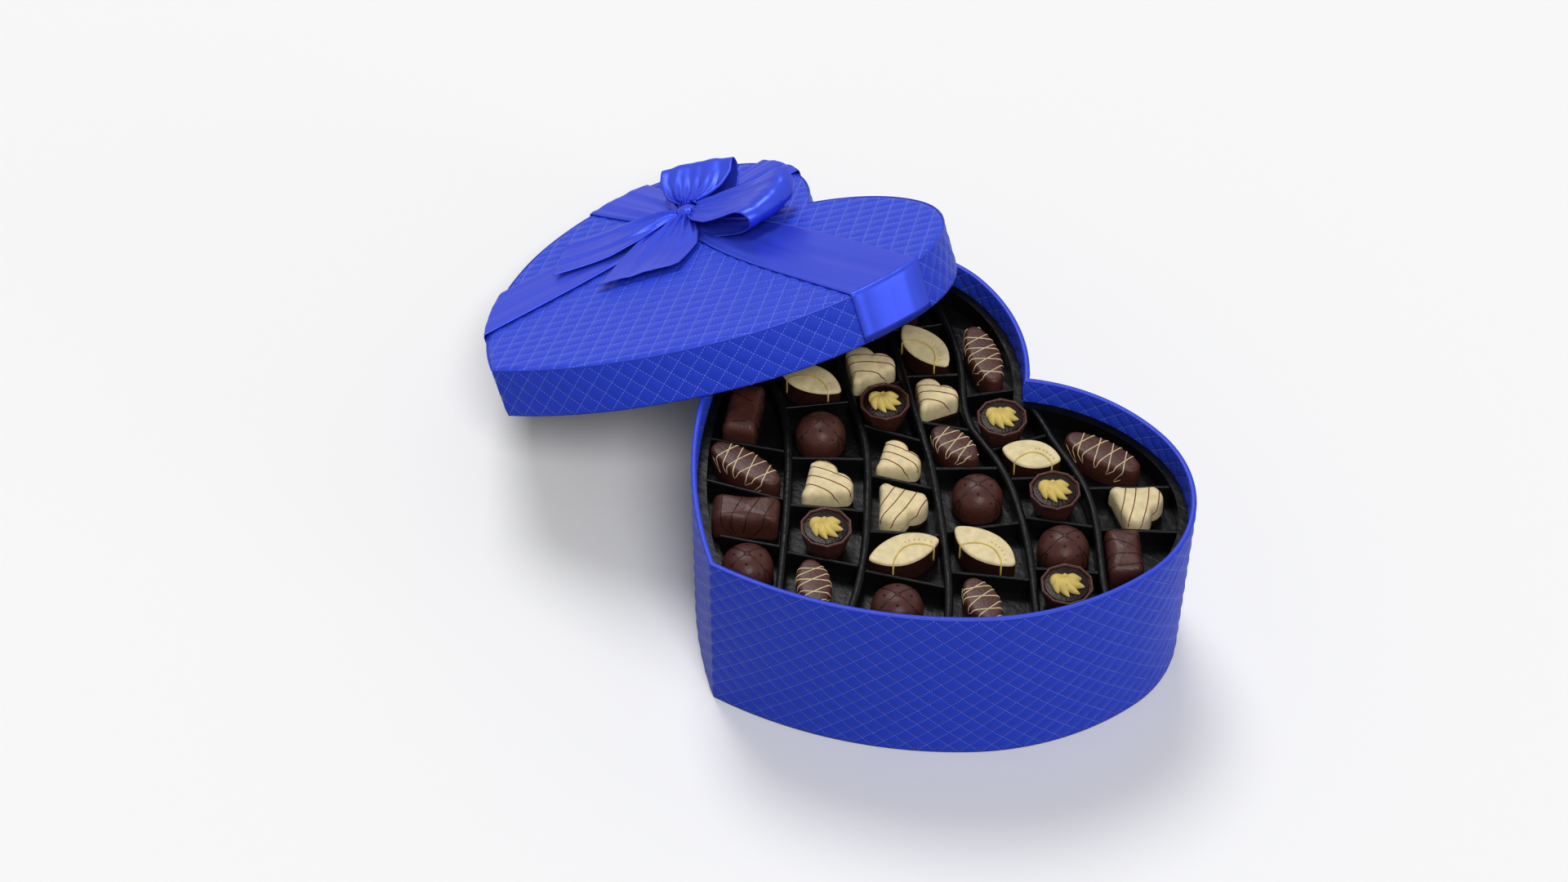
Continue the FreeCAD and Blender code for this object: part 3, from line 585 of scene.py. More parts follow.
def quilted_top():
    """Padded top of the lid: quilted squares that drop to a piped seam around the edge."""
    pitch, rise, steps_in_square = sizes().top_pitch / MM, sizes().quilt_rise / MM, 9
    step = pitch / steps_in_square
    # Depth of the seam and of the ledge under it, widths over which the squares flatten and the top
    # drops, share of the rise below the lid's height, share of a step kept clear along the edge, and
    # the piping's radius, depth and stand-off.
    seam_drop, ledge_drop, flat_width, drop_width, sunk, clear = 0.9, 1.2, 4, 3, 0.4, 0.6
    piping_radius, piping_drop, piping_out = 0.42, 0.75, 0.15
    edge = heart_line(LID_FACE, step)
    reach = math.ceil(np.abs(edge).max() / step) * step
    marks = np.arange(-reach, reach + step / 2, step)
    grid = np.stack(np.meshgrid(marks, marks), axis=-1).reshape(-1, 2)
    grid = grid[in_heart(grid, edge)]
    grid = grid[gap_to(edge, grid) > clear * step]
    level = [Vector(point) for point in np.vstack([edge, grid])]
    loop = [(k, (k + 1) % len(edge)) for k in range(len(edge))]
    points, _, faces, *_ = delaunay_2d_cdt(level, loop, [], 1, 1e-4)
    points = np.array(points)
    gap = gap_to(edge, points)
    up = LID_HEIGHT + (pillow(*points.T, pitch) - sunk) * rise * smooth(gap / flat_width)
    up -= seam_drop * (1 - smooth(gap / drop_width))
    shape = Shape().add(np.column_stack([points, up]), [list(face) for face in faces],
                        chart=points * sizes().quilt_pitch / sizes().top_pitch)
    rim = [raised(heart_line(inset, step), height) for inset, height in (
        (LID_FACE, LID_HEIGHT - seam_drop), (LID_FACE, LID_HEIGHT - ledge_drop),
        (PADDING_EDGE, LID_HEIGHT - ledge_drop), (PADDING_EDGE, LID_PAD_BASE))]
    shape.add_net(np.array(rim)[::-1], around=True)
    shape.add(rim[-1], [list(range(len(edge)))[::-1]])
    piping = raised(heart_line(LID_FACE - piping_out, step), LID_HEIGHT - piping_drop)
    return shape.add_net(bead(piping, piping_radius, closed=True), around=True, finish=1)


def rim_profile():
    """Rounded edge along the rim, from the cover over the top to the lining."""
    step, sides = sizes().mesh_step / MM, 12
    half_width, half_height = LINING_FACE / 2, 0.6
    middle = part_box("rim_edging")[0][2] / MM + 0.55
    rings = [raised(heart_line(half_width + half_width * math.cos(turn), step),
                    middle + half_height * math.sin(turn))
             for turn in np.linspace(0, 2 * np.pi, sides, endpoint=False)]
    return Shape().add_net(np.array(rings + rings[:1]), around=True)


# Ribbon

def crossing(line, at, axis):
    """Place on the other axis where a run of a line crosses a value on one axis."""
    order = np.argsort(line[:, axis])
    return np.interp(at, line[order, axis], line[order, 1 - axis])


def wrinkles(across_ribbon, along_ribbon, seed):
    """Height from 0 to 1 of soft creases that run along a ribbon and wander a little."""
    dice = np.random.default_rng(seed)
    height, wander, slowest, quickest, any_phase = 0, 0.22, 60, 38, 6
    for spacing, weight in ((19, 0.6), (10.5, 0.3), (6, 0.1)):
        sway = wander * spacing * np.sin(along_ribbon / dice.uniform(quickest, slowest)
                                         + dice.uniform(0, any_phase))
        phase = 2 * np.pi * (across_ribbon + sway) / spacing + dice.uniform(0, any_phase)
        height = height + weight * (0.5 + 0.5 * np.sin(phase))
    return height


def band(lengthwise, lift, seed):
    """Ribbon over the lid's top and down its two sides, drawn together towards the knot."""
    half, columns, side_rows, corner_rows, top_rows = sizes().ribbon_width / MM / 2, 33, 8, 6, 120
    corner, hem, crown, row_pitch = 1.6, 0.9, LID_HEIGHT + lift, 2.4
    # Share of its width that the knot takes in, how far that and the bend to the knot reach, the
    # creases' depth and how much the knot adds to it, and the share of half its width in which they
    # fade towards an edge.
    taken_in, gather_reach, bend_reach, shallow, deep, edge_share = 0.4, 62, 40, 0.35, 1.9, 0.12
    outline = heart_half(LID_FACE - lift, 1)
    if lengthwise:
        left = outline * (-1, 1)
        split = int(np.argmin(left[:, 0]))
        runs, axis = (left[:split], left[split:]), 0
        middle, knot, bend, reach = BAND_X, BAND_Y, KNOT_X - BAND_X, 120
    else:
        right = outline[:int(np.argmax(outline[:, 1]))]
        runs, axis = (right * (-1, 1), right), 1
        middle, knot, bend, reach = BAND_Y, KNOT_X, 0, 141
    # Rows up one side, over the top and down the other: share of the way across the lid, inset from
    # its edge, height, and the two parts of the outward direction.
    side = [(0, height, 1, 0) for height in np.linspace(hem, crown - corner, side_rows)]
    side += [(corner * (1 - math.cos(turn)), crown - corner * (1 - math.sin(turn)), math.cos(turn),
              math.sin(turn)) for turn in np.linspace(0, math.pi / 2, corner_rows)[1:]]
    rows = [(0, inset, height, -out, rise) for inset, height, out, rise in side]
    rows += [(place, corner, crown, 0, 1) for place in np.linspace(0, 1, top_rows)[1:-1]]
    rows += [(1, *row) for row in side[::-1]]
    place, inset, height, out, rise = np.array(rows).T[:, :, None]
    spread = np.linspace(-1, 1, columns)
    way = -reach + 2 * reach * place
    gather = np.exp(-((way - knot) / gather_reach) ** 2)
    at = (middle + bend * np.exp(-((way - knot) / bend_reach) ** 2)
          + spread * half * (1 - taken_in * gather))
    start, end = (crossing(run, at, axis) for run in runs)
    start, end = start + inset, end - inset
    along = start + (end - start) * place
    axes = [0, 1, 2] if lengthwise else [1, 0, 2]
    points = np.dstack([at, along, height + 0 * at])[:, :, axes]
    outwards = np.dstack([0 * out, out, rise])[:, :, axes]
    fold = (wrinkles(spread * half, way + 0 * at, seed) * (shallow + deep * gather)
            * smooth((1 - np.abs(spread)) / edge_share))
    points = points + outwards * fold[:, :, None]
    chart = np.dstack([spread * half + 0 * at, row_pitch * np.arange(1, len(rows) + 1)[:, None] + 0 * at])
    return Shape().add_net(points if lengthwise else points[:, ::-1], chart=chart)


def curve_through(points, count):
    """Even points along a smooth line through a few points."""
    points, steps = np.asarray(points, float), 24
    ends = np.vstack([2 * points[0] - points[1], points, 2 * points[-1] - points[-2]])
    fine = []
    for k in range(len(points) - 1):
        a, b, c, d = ends[k:k + 4]
        for t in np.linspace(0, 1, steps, endpoint=False):
            fine.append(0.5 * (2 * b + (c - a) * t + (2 * a - 5 * b + 4 * c - d) * t ** 2
                               + (3 * b - a - 3 * c + d) * t ** 3))
    fine = np.array(fine + [points[-1]])
    run = distances_along(fine)
    even = np.linspace(0, run[-1], count)
    return np.column_stack([np.interp(even, run, axis) for axis in fine.T])


def loop_path(reach, tall):
    """Side view of a bow loop: out along the lid, over its round end and back to the knot."""
    knot_edge, lower, upper = 6, 2, 7.5
    rises = [(0.35, 0.06), (0.68, 0.08), (0.93, 0.24), (1.03, 0.55), (1, 0.9), (0.9, 1), (0.72, 0.82),
             (0.5, 0.6), (0.3, 0.48)]
    return [(knot_edge, lower), *((share * reach, up * tall) for share, up in rises), (knot_edge, upper)]


def bow_ribbon(path, widths, heading, cut, fold, seed, bulge, slope):
    """Ribbon that follows a side view path out of the knot, as wide as its widths say. Its end is cut
    on a slant and bulges, one edge may slope down, and it is folded into pleats at the knot."""
    rows, columns, over_lid = 100, 41, 1.9
    # The pleats: where they are deepest, the share of the reach over which they fade, their half waves
    # from the middle to an edge and their unevenness. The ripple is the creases' depth beyond them.
    pleat_middle, pleat_fade, half_waves, uneven, ripple_depth = 8, 0.36, 6.5, 0.6, 0.8
    bulge_start = 0.375      # share of the reach
    line, half_ribbon = curve_through(path, rows), sizes().ribbon_width / MM / 2
    spread, share = np.linspace(-1, 1, columns), np.linspace(0, 1, rows)[:, None]
    out = line[:, :1] + 0 * spread
    half = np.interp(line[:, :1], *np.transpose(widths)) / 2
    far = smooth((line[:, :1] / line[:, 0].max() - bulge_start) / (1 - bulge_start))
    points = np.dstack([out + cut * spread * smooth(share) - bulge * far * spread ** 2,
                        spread * half,
                        line[:, 1:] * (1 - slope / 2 + slope / 2 * spread)])
    gathered = np.exp(-((out - pleat_middle) / (pleat_fade * out.max())) ** 2)
    wave = np.cos(np.pi * spread * half_waves + uneven * np.sin(3 * spread + seed))
    creases = wrinkles(spread * half_ribbon + 0 * out, out, seed) - 0.5
    height = creases * (ripple_depth + fold * gathered) + wave * gathered * fold / 2
    normal = unit(np.cross(np.gradient(points, axis=1), np.gradient(points, axis=0)))
    points = points + normal * height[:, :, None]
    points[:, :, :2] = turned(points[:, :, :2], heading) + (KNOT_X, BAND_Y)
    points[:, :, 2] += LID_HEIGHT + over_lid
    chart = np.dstack([spread * half_ribbon + 0 * out, share * distances_along(path)[-1] + 0 * out])
    return Shape().add_net(points, chart=chart)


def knot_shape():
    """Ribbon wrapped tightly over the middle of the bow, with creases along the wrap."""
    width, depth, height, low = 8.5, 7.5, 8.6, LID_HEIGHT + 1.4
    rings, segments, open_top, squareness = 22, 64, 0.03, 0.7
    folds, fold_depth, fold_sway, creases, crease_depth, dip = 5, 0.05, 0.8, 9, 0.03, 0.07
    turns = np.linspace(0, 2 * np.pi, segments, endpoint=False)
    rise = np.linspace(0, np.pi / 2 - open_top, rings)
    up, around = np.meshgrid(rise, turns, indexing="ij")
    wrap = np.abs(np.sin(folds * around + fold_sway * np.sin(3 * up))) * np.cos(up)
    share = 1 - fold_depth * wrap - crease_depth * np.sin(creases * around)
    out = np.cos(up) ** squareness * share
    points = np.dstack([KNOT_X + width * out * np.cos(around), BAND_Y + depth * out * np.sin(around),
                        low + height * np.sin(up) * (1 - dip + dip * share)])
    return Shape().add_net(points, around=True, ends=True)


# Pralines

def polar(points, count):
    """Outline resampled at even angles about its middle."""
    points = np.asarray(points, float)
    angle = np.arctan2(points[:, 1], points[:, 0])
    order = np.argsort(angle)
    turns = np.linspace(-np.pi, np.pi, count, endpoint=False)
    radius = np.interp(turns, angle[order], np.hypot(*points[order].T), period=2 * np.pi)
    return unit_ring(turns) * radius[:, None]


def arc_points(centre, radius, start, end, count=40):
    """Points along an arc between two angles in degrees."""
    return unit_ring(np.radians(np.linspace(start, end, count))) * radius + centre


def oval_line(length, width, tip, count):
    """Oval of two long arcs joined by two tighter ones."""
    offset, spare = length / 2 - tip, width / 2 - tip
    drop = (offset ** 2 - spare ** 2) / (2 * spare)
    slope = math.degrees(math.atan2(drop, offset))
    end = arc_points((offset, 0), tip, -slope, slope)
    side = arc_points((0, -drop), drop + width / 2, slope, 180 - slope)
    half = np.vstack([end, side])
    return polar(np.vstack([half, -half]), count)


def leaf_line(length, width, count):
    """Pointed oval whose two tips bend to opposite sides."""
    tip, bend, fine = 2.5, 1.6, 400
    line = oval_line(length, width, tip, fine)
    share = 2 * line[:, 0] / length
    return polar(line - np.column_stack([0 * share, bend * share ** 3]), count)


def bar_line(length, width, corner, count):
    """Rectangle with round corners."""
    x, y = length / 2 - corner, width / 2 - corner
    line = np.vstack([arc_points((sx * x, sy * y), corner, start, start + 90, 8)
                      for sx, sy, start in ((1, 1, 0), (-1, 1, 90), (-1, -1, 180), (1, -1, 270))])
    closed = np.vstack([line, line[:1]])
    fine = [a + (b - a) * t for a, b in zip(closed, closed[1:])
            for t in np.linspace(0, 1, max(2, round(np.linalg.norm(b - a))), endpoint=False)]
    return polar(fine, count)


def heart_praline_line(width, count):
    """Plump heart with two lobes, straight flanks and a round tip, its tip at -Y."""
    lobe, tip, lobe_rise, tip_drop = 0.3 * width, 0.1 * width, 0.09 * width, 0.44 * width
    tip_points, flank_points = 12, 20
    centre, low = np.array([width / 2 - lobe, lobe_rise]), np.array([0, -tip_drop])
    span = centre - low
    lean = math.degrees(math.atan2(span[1], span[0]) - math.acos((lobe - tip) / np.linalg.norm(span)))
    cleft = math.degrees(math.acos(-centre[0] / lobe))
    end, side = arc_points(low, tip, -90, lean, tip_points), arc_points(centre, lobe, lean, cleft)
    right = np.vstack([end, np.linspace(end[-1], side[0], flank_points)[1:-1], side])
    return polar(np.vstack([right, right[::-1] * (-1, 1)]), count)


class Mould:
    """Mould of a praline: its outline, its height, the round of its upper edge and how much its top
    is crowned, which is part of the height."""

    def __init__(self, line, height, round_off, crown=0.4):
        self.line, self.round_off, self.crown = line, round_off, crown
        self.shoulder = height - crown
        self.wall = self.shoulder - round_off

    def cast(self, split=None, foot=0.5, belly=0):
        """Shape of the praline, on a chamfered foot, with a side that swells by the belly. Its second
        finish starts at the split, if there is one."""
        chamfer, wall_step, arc_steps, top_rings, top_hole = 0.5, 1.6, 1.4, 12, 0.04
        wall, round_off = self.wall, self.round_off
        wall_rows = max(3, round(wall / wall_step))
        edge_rows = max(4, round(round_off * arc_steps)) + 1
        # Inset from the outline, height, and share of the way out from the middle.
        steps = [(chamfer, 0, 1), (0, foot, 1)]
        steps += [(-belly * math.sin(math.pi * t), foot + (wall - foot) * t, 1)
                  for t in np.linspace(0, 1, wall_rows)[1:]]
        steps += [(round_off * (1 - math.cos(t)), wall + round_off * math.sin(t), 1)
                  for t in np.linspace(0, math.pi / 2, edge_rows)[1:]]
        steps += [(round_off, self.shoulder + self.crown * (1 - share * share), share)
                  for share in np.linspace(1, top_hole, top_rings)[1:]]
        radius = np.linalg.norm(self.line, axis=1)[:, None]
        rings = np.array([raised(self.line / radius * (radius - inset) * share, up)
                          for inset, up, share in steps])
        if split is None:
            return Shape().add_net(rings, around=True, ends=True)
        row = next(k for k, (_, up, _) in enumerate(steps) if up >= split)
        around = list(range(len(self.line)))
        shape = Shape().add_net(rings[:row + 1], around=True)
        shape.add_net(rings[row:], around=True, finish=1)
        return shape.add(rings[0], [around[::-1]]).add(rings[-1], [around], finish=1)

    def drape(self, path):
        """Lay a level path over the praline. What runs past its outline goes down its side."""
        round_off, lowest = self.round_off, 0.6
        x, y = np.asarray(path, float).T
        turn, out = np.arctan2(y, x), np.hypot(x, y)
        edge = np.interp(turn, np.arctan2(self.line[:, 1], self.line[:, 0]), np.hypot(*self.line.T),
                         period=2 * np.pi)
        inside = edge - out
        into = np.clip(inside, 0, round_off)
        top_reach = np.maximum(edge - round_off, 1e-3)
        up = self.wall + np.sqrt(np.maximum(round_off ** 2 - (round_off - into) ** 2, 0))
        up = up + self.crown * np.clip(1 - (out / top_reach) ** 2, 0, 1) + np.minimum(inside, 0)
        return np.column_stack([unit_ring(turn) * np.minimum(out, edge)[:, None], np.maximum(up, lowest)])


def piped(shape, path, radius, finish, sides=6):
    """Add a line of chocolate or icing along a path."""
    shape.add_net(bead(path, radius, sides), around=True, finish=finish, ends=True)


def drop_of(shape, at, radius, finish):
    """Add a small round drop at a place on the surface."""
    sides, rings, lowest, highest = 10, 7, -1.2, 1.45
    disc = unit_ring(np.linspace(0, 2 * np.pi, sides, endpoint=False))
    shape.add_net(np.array([raised(disc * math.cos(rise), math.sin(rise)) * radius + at
                            for rise in np.linspace(lowest, highest, rings)]),
                  around=True, finish=finish, ends=True)


def dome_shape(_dice, height):
    """Domed truffle with two thin ridges that cross on top and fork down its sides, and drops."""
    radius, round_off, ridge, branch, drop = 13.5, 12, 0.42, 0.4, 0.75
    mould = Mould(arc_points((0, 0), radius, -180, 180 - 5, 72), height, round_off)
    shape = mould.cast()
    stem = [(reach, 0) for reach in np.linspace(0.2, 10.5, 14)]
    forks = [[(10.2 + 9 * t, side * 7.5 * t ** 1.3) for t in np.linspace(0, 1, 12)] for side in (-1, 1)]
    for heading in (8, 84, 185, 261):
        piped(shape, mould.drape(turned(stem, heading)), ridge, 1)
        for fork in forks:
            piped(shape, mould.drape(turned(fork, heading)), branch, 1)
    for at in ((4.3, -4.6), (4.8, 5), (-4.6, 4.9), (-5, -4.4), (11, -2), (-1.5, -11.5)):
        drop_of(shape, mould.drape([at])[0] + (0, 0, 0.1), drop, 1)
    return shape


def log_shape(length, dice, height):
    """Praline bar, with thin lines that wrap over it on a slant."""
    width, corner, round_off, crown, clearance = 18, 2.6, 6.5, 0.2, 0.2
    lines, line_radius, end_share, waver, half_wrap = 4, 0.36, 0.36, 1.2, 15
    mould = Mould(bar_line(length, width, corner, 96), height - clearance, round_off, crown)
    shape = mould.cast()
    for middle in np.linspace(-end_share, end_share, lines) * length:
        slant = dice.uniform(2, 5) * dice.choice((-1, 1))
        path = [(middle + slant * t + waver * math.sin(2.5 * t), half_wrap * t)
                for t in np.linspace(-1, 1, 34)]
        piped(shape, mould.drape(path), line_radius, 1)
    return shape


def oval_shape(length, turns_of_line, dice, height):
    """Drizzled oval: two zigzag lines of white chocolate that cross over it."""
    width, tip, round_off = 17.5, 5, 2.5
    line_radius, line_share, sharpness, waver, overhang = 0.32, 0.94, 0.985, 0.8, 4
    mould = Mould(oval_line(length, width, tip, 96), height, round_off)
    shape = mould.cast(foot=3.2, belly=0.35)
    share = np.linspace(0.03, 0.97, 160)
    for phase in (0, 0.5):
        sway = share * turns_of_line + phase + dice.uniform(-0.06, 0.06)
        zigzag = 2 / np.pi * np.arcsin(sharpness * np.sin(2 * np.pi * sway))
        along = (share - 0.5) * length * line_share + waver * np.sin(9 * share + dice.uniform(0, 6))
        path = np.column_stack([along, zigzag * (width / 2 + overhang)])
        piped(shape, mould.drape(path), line_radius, 1)
    return shape


def leaf_shape(length, _dice, height):
    """Leaf praline: a pale top on a dark body, with a yellow line, drops and two runs down its side."""
    width, round_off, crown = 19.5, 1.5, 0.3
    # The line: its radius, its start and length as shares of the leaf's, its arch, how far its two
    # runs stand off the side, and their depths. The drops: radius, number, and place beside the line.
    line_radius, line_start, line_length, arch, roundness, stand_off = 0.5, -0.26, 0.62, 7.2, 0.75, 1.015
    depths = (9, 8.6, 6, 3, 0)
    drop, drops, drop_along, drop_aside = 0.5, 6, 1.2, 2.8
    mould = Mould(leaf_line(length, width, 120), height, round_off, crown)
    shape = mould.cast(split=mould.wall)
    front = mould.line[mould.line[:, 1] < 0]
    reach = np.linspace(0, 1, 40)
    along = (line_start + line_length * reach) * length
    edge = np.interp(along[[0, -1]], front[:, 0], front[:, 1])
    swing = edge[0] + (edge[1] - edge[0]) * reach + arch * np.sin(np.pi * reach) ** roundness
    curve = mould.drape(np.column_stack([along, swing]))
    falls = np.array([(0, 0, depth) for depth in depths])
    first, last = (curve[k] * (stand_off, stand_off, 1) - falls for k in (0, -1))
    piped(shape, np.vstack([first, curve[1:-1], last[::-1]]), line_radius, 2)
    for share in np.linspace(0.45, 0.97, drops):
        k = round(share * (len(reach) - 1))
        drop_of(shape, mould.drape([(along[k] + drop_along, swing[k] + drop_aside)])[0], drop, 2)
    return shape


def heart_shape(width, dice, height):
    """White heart on a dark foot, with thin curved stripes over it that end above the foot."""
    round_off, crown, dark_foot, line_radius, slant, arch, overhang = 4, 0.5, 3.4, 0.3, 24, 1.8, 3
    mould = Mould(heart_praline_line(width, 110), height, round_off, crown)
    shape = mould.cast(split=dark_foot, belly=0.3)
    for offset in np.linspace(-0.3, 0.33, 4) * width + dice.uniform(-0.5, 0.5, 4):
        path = [(t * (width / 2 + overhang), offset + arch * (1 - t * t)) for t in np.linspace(-1, 1, 40)]
        draped = mould.drape(turned(path, slant))
        piped(shape, draped[draped[:, 2] > dark_foot + 0.8], line_radius, 2)
    return shape


def cup_shape(_dice, height):
    """Faceted cup with a thin lip, dark filling and a piped fan of icing with pointed ends."""
    top, draft, lip, fill_drop, facets, points_around = 13.75, math.radians(13), 1.5, 1.2, 10, 80
    facet = math.pi / facets
    turns = np.linspace(-np.pi, np.pi, points_around, endpoint=False)
    disc = unit_ring(turns)
    polygon = disc * (math.cos(facet) / np.cos(turns % (2 * facet) - facet))[:, None]
    low, inside = top - height * math.tan(draft), top - lip
    # Radius and height, up the outside, over the lip and down to the filling.
    steps = [(low - 0.4, 0), (low, 0.5), ((low + top) / 2, height / 2), (top - 0.25, height - 0.9),
             (top, height - 0.4), (top - 0.4, height), (top - lip * 0.7, height), (inside, height - 0.4),
             (inside, height - fill_drop - 0.4)]
    shape = Shape().add_net(np.array([raised(polygon * radius, up) for radius, up in steps]),
                            around=True, ends=True)
    filling = [(1, 0.1), (0.97, 0.5), (0.8, 0.75), (0.5, 0.9), (0.1, 1)]
    shape.add_net(np.array([raised(disc * inside * 0.93 * share, height - fill_drop + up)
                            for share, up in filling]), around=True, finish=1, ends=True)
    # The fan: the place where its lobes meet, their ends and how blunt each is, and its turn.
    root, fan_turn, curl, root_drop = np.array([-0.8, 4.6]), 52, 0.36, 1.7
    t = np.linspace(0, 1, 16)
    for tip, blunt in (((7.6, 3.4), 0.9), ((8.9, -2), 0.9), ((6.2, -6.8), 0.9), ((0.8, -8.6), 1),
                       ((-4.6, -6.6), 1.3), ((-7.4, -1.8), 1.3)):
        span = np.array(tip) - root
        bend = root + span / 2 + np.array([span[1], -span[0]]) * curl
        flat = np.outer((1 - t) ** 2, root) + np.outer(2 * t * (1 - t), bend) + np.outer(t ** 2, tip)
        up = height - 0.4 + 1.2 * np.sin(np.pi * (0.2 + 0.75 * t))
        swell = 0.4 + 2.3 * np.sin(np.pi * t ** blunt)
        piped(shape, np.column_stack([turned(flat, fan_turn), up]), swell, 2, sides=10)
    drop_of(shape, np.array([*turned(root, fan_turn), height]), root_drop, 2)
    return shape


# Degrees that each praline is turned in its cell, in the order of its kind's nodes.
TURNS = {
    "dome": (7,) * 6, "log": (-47, 48), "short_log": (-37,), "oval": (14, -22, 18),
    "short_oval": (-28, -20, 6, -14), "leaf": (26, 78, 4, 17), "small_leaf": (44,),
    "white_heart": (4, 27, -94, -73), "small_heart": (0, 22), "cup": (0,) * 6,
}

# Middles of the heart pralines, whose outline isn't even about its own box.
HEART_MIDDLES = {
    "white_heart": ((-18, -32), (-70.5, 38.3), (17, -11), (91.7, 86.6)),
    "small_heart": ((-8, 8), (-31.2, 52.5)),
}


def nodes_of(kind):
    """Names of the pralines of a kind, in order."""
    found = [node for node in frame["nodes"] if node.rsplit("_", 1)[0] == kind]
    return sorted(found, key=lambda node: int(node.rsplit("_", 1)[1]))


def set_in_cell(kind, shape_of, finishes, slot, crease=60):
    """Put every praline of a kind in its cell. Each has its own dice, for small differences."""
    first_seed = 7
    for number, node in enumerate(nodes_of(kind)):
        low, high = (np.array(corner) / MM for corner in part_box(node))
        middle = HEART_MIDDLES[kind][number] if kind in HEART_MIDDLES else (low + high)[:2] / 2
        place = Matrix.Translation(Vector((*middle, low[2])) * MM)
        turn = Matrix.Rotation(math.radians(TURNS[kind][number]), 4, "Z")
        shape = shape_of(np.random.default_rng(number + first_seed), high[2] - low[2])
        shape.piece(node + "_sweet", [node], finishes, slot, place @ turn, crease)


# Operators

class PRALINEBOX_OT_base_covers(bpy.types.Operator):
    """Cover and line the base with quilted leatherette and edge its rim"""
    bl_idname = "praline_box.base_covers"
    bl_label = "Base covers"
    bl_options = {"REGISTER", "UNDO"}

    def execute(self, context):
        look, foot, rim_height = [leatherette()], 0.1, 1.3
        height = BASE_HEIGHT - rim_height
        _, around = run_of(heart_line(0, 1))
        for name, node, face, back, out in (
                ("base_quilting", "base_cover", COVER_FACE, COVER_BACK, 1),
                ("lining_quilting", "base_lining", LINING_FACE, LINING_BACK, -1)):
            thing = quilted_wall(face, back, foot, height, out).piece(name, [node], look, "blue_leatherette")
            weld(thing)
        rim = rim_profile().piece("rim_edge", ["rim_edging"], [edging()], "blue_edging")
        weld(rim)
        return {"FINISHED"}


class PRALINEBOX_OT_lid_covers(bpy.types.Operator):
    """Cover the lid's side and its padded top with quilted leatherette"""
    bl_idname = "praline_box.lid_covers"
    bl_label = "Lid covers"
    bl_options = {"REGISTER", "UNDO"}

    def execute(self, context):
        look, place = [leatherette(), edging()], lid_place()
        foot, seam_depth = 0.05, 1.25
        top = LID_HEIGHT - seam_depth
        side = quilted_wall(LID_FACE, LID_BACK, foot, top)
        thing = side.piece("lid_side_quilting", ["lid_side_cover"], look[:1], "blue_leatherette", place)
        weld(thing)
        _, around = run_of(heart_line(LID_FACE, 1))
        pad = quilted_top().piece("lid_top_quilting", ["lid_top_cover", "lid_padding_sheet"], look,
                                  "blue_leatherette", place)
        weld(pad)
        return {"FINISHED"}


class PRALINEBOX_OT_ribbon_bands(bpy.types.Operator):
    """Lay the two satin bands over the lid"""
    bl_idname = "praline_box.ribbon_bands"
    bl_label = "Ribbon bands"
    bl_options = {"REGISTER", "UNDO"}

    def execute(self, context):
        look, place, width = [satin()], lid_place(), sizes().ribbon_width
        for name, lengthwise, lift, seed, length in (("crosswise_band", False, 0.9, 3, 0.336),
                                                     ("lengthwise_band", True, 1.6, 5, 0.272)):
            shape = band(lengthwise, lift, seed)
            thing = shape.piece(name + "_satin", [name], look, "blue_satin", place)
            thicken(thing)
        return {"FINISHED"}


class PRALINEBOX_OT_bow(bpy.types.Operator):
    """Tie the satin bow: two loops, two tails and the knot"""
    bl_idname = "praline_box.bow"
    bl_label = "Bow"
    bl_options = {"REGISTER", "UNDO"}

    def execute(self, context):
        look, place, width = [satin()], lid_place(), sizes().ribbon_width / MM
        loop, tail = sizes().loop_length / MM, sizes().tail_length / MM
        # Distance from the knot and width there, and a tail's side view.
        tail_widths = [(5, 10), (14, 20), (30, 36), (46, width), (90, width)]
        loop_widths = [(5, 10), (12, 25), (20, 36), (32, width), (90, width)]
        tail_path = [(6, 4), (0.18 * tail, 5), (0.4 * tail, 3.4), (0.65 * tail, 1.6), (0.86 * tail, 1.8),
                     (tail, 2.6)]
        # Heading in degrees, slant of the cut, depth of the pleats, seed, bulge and slope.
        for name, path, widths, *form in (
                ("right_loop", loop_path(loop, 22), loop_widths, 18, 0, 1.5, 11, 7, 0.3),
                ("left_loop", loop_path(0.66 * loop, 17), loop_widths, 133, 0, 2.4, 13, 4, 0),
                ("left_tail", tail_path, tail_widths, -113, 8, 1.6, 17, 0, 0),
                ("middle_tail", tail_path, tail_widths, -55, -9, 1.6, 19, 0, 0)):
            shape = bow_ribbon(path, widths, *form)
            thing = shape.piece(name + "_satin", [name], look, "blue_satin", place)
            thicken(thing)
            length = distances_along(path)[-1]
        knot_shape().piece("bow_knot_satin", ["bow_knot"], look, "blue_satin", place)
        return {"FINISHED"}


class PRALINEBOX_OT_boards(bpy.types.Operator):
    """Finish the boards, the riser and the tray"""
    bl_idname = "praline_box.boards"
    bl_label = "Boards and tray"
    bl_options = {"REGISTER", "UNDO"}

    def execute(self, context):
        finishes = dict.fromkeys(("base_bottom", "base_wall", "riser_collar", "riser_deck", "lid_rim",
                                  "lid_top_board"), facing_paper())
        finishes["tray"] = moulded_sheet()
        for node, finish in finishes.items():
            slots = frame["nodes"][node].data.materials
            slots.clear()
            slots.append(finish)
        return {"FINISHED"}


class PRALINEBOX_OT_domes(bpy.types.Operator):
    """Make the domed truffles"""
    bl_idname = "praline_box.domes"
    bl_label = "Domes"
    bl_options = {"REGISTER", "UNDO"}

    def execute(self, context):
        set_in_cell("dome", dome_shape, [milk_chocolate(), dark_chocolate()], "milk_chocolate")
        return {"FINISHED"}


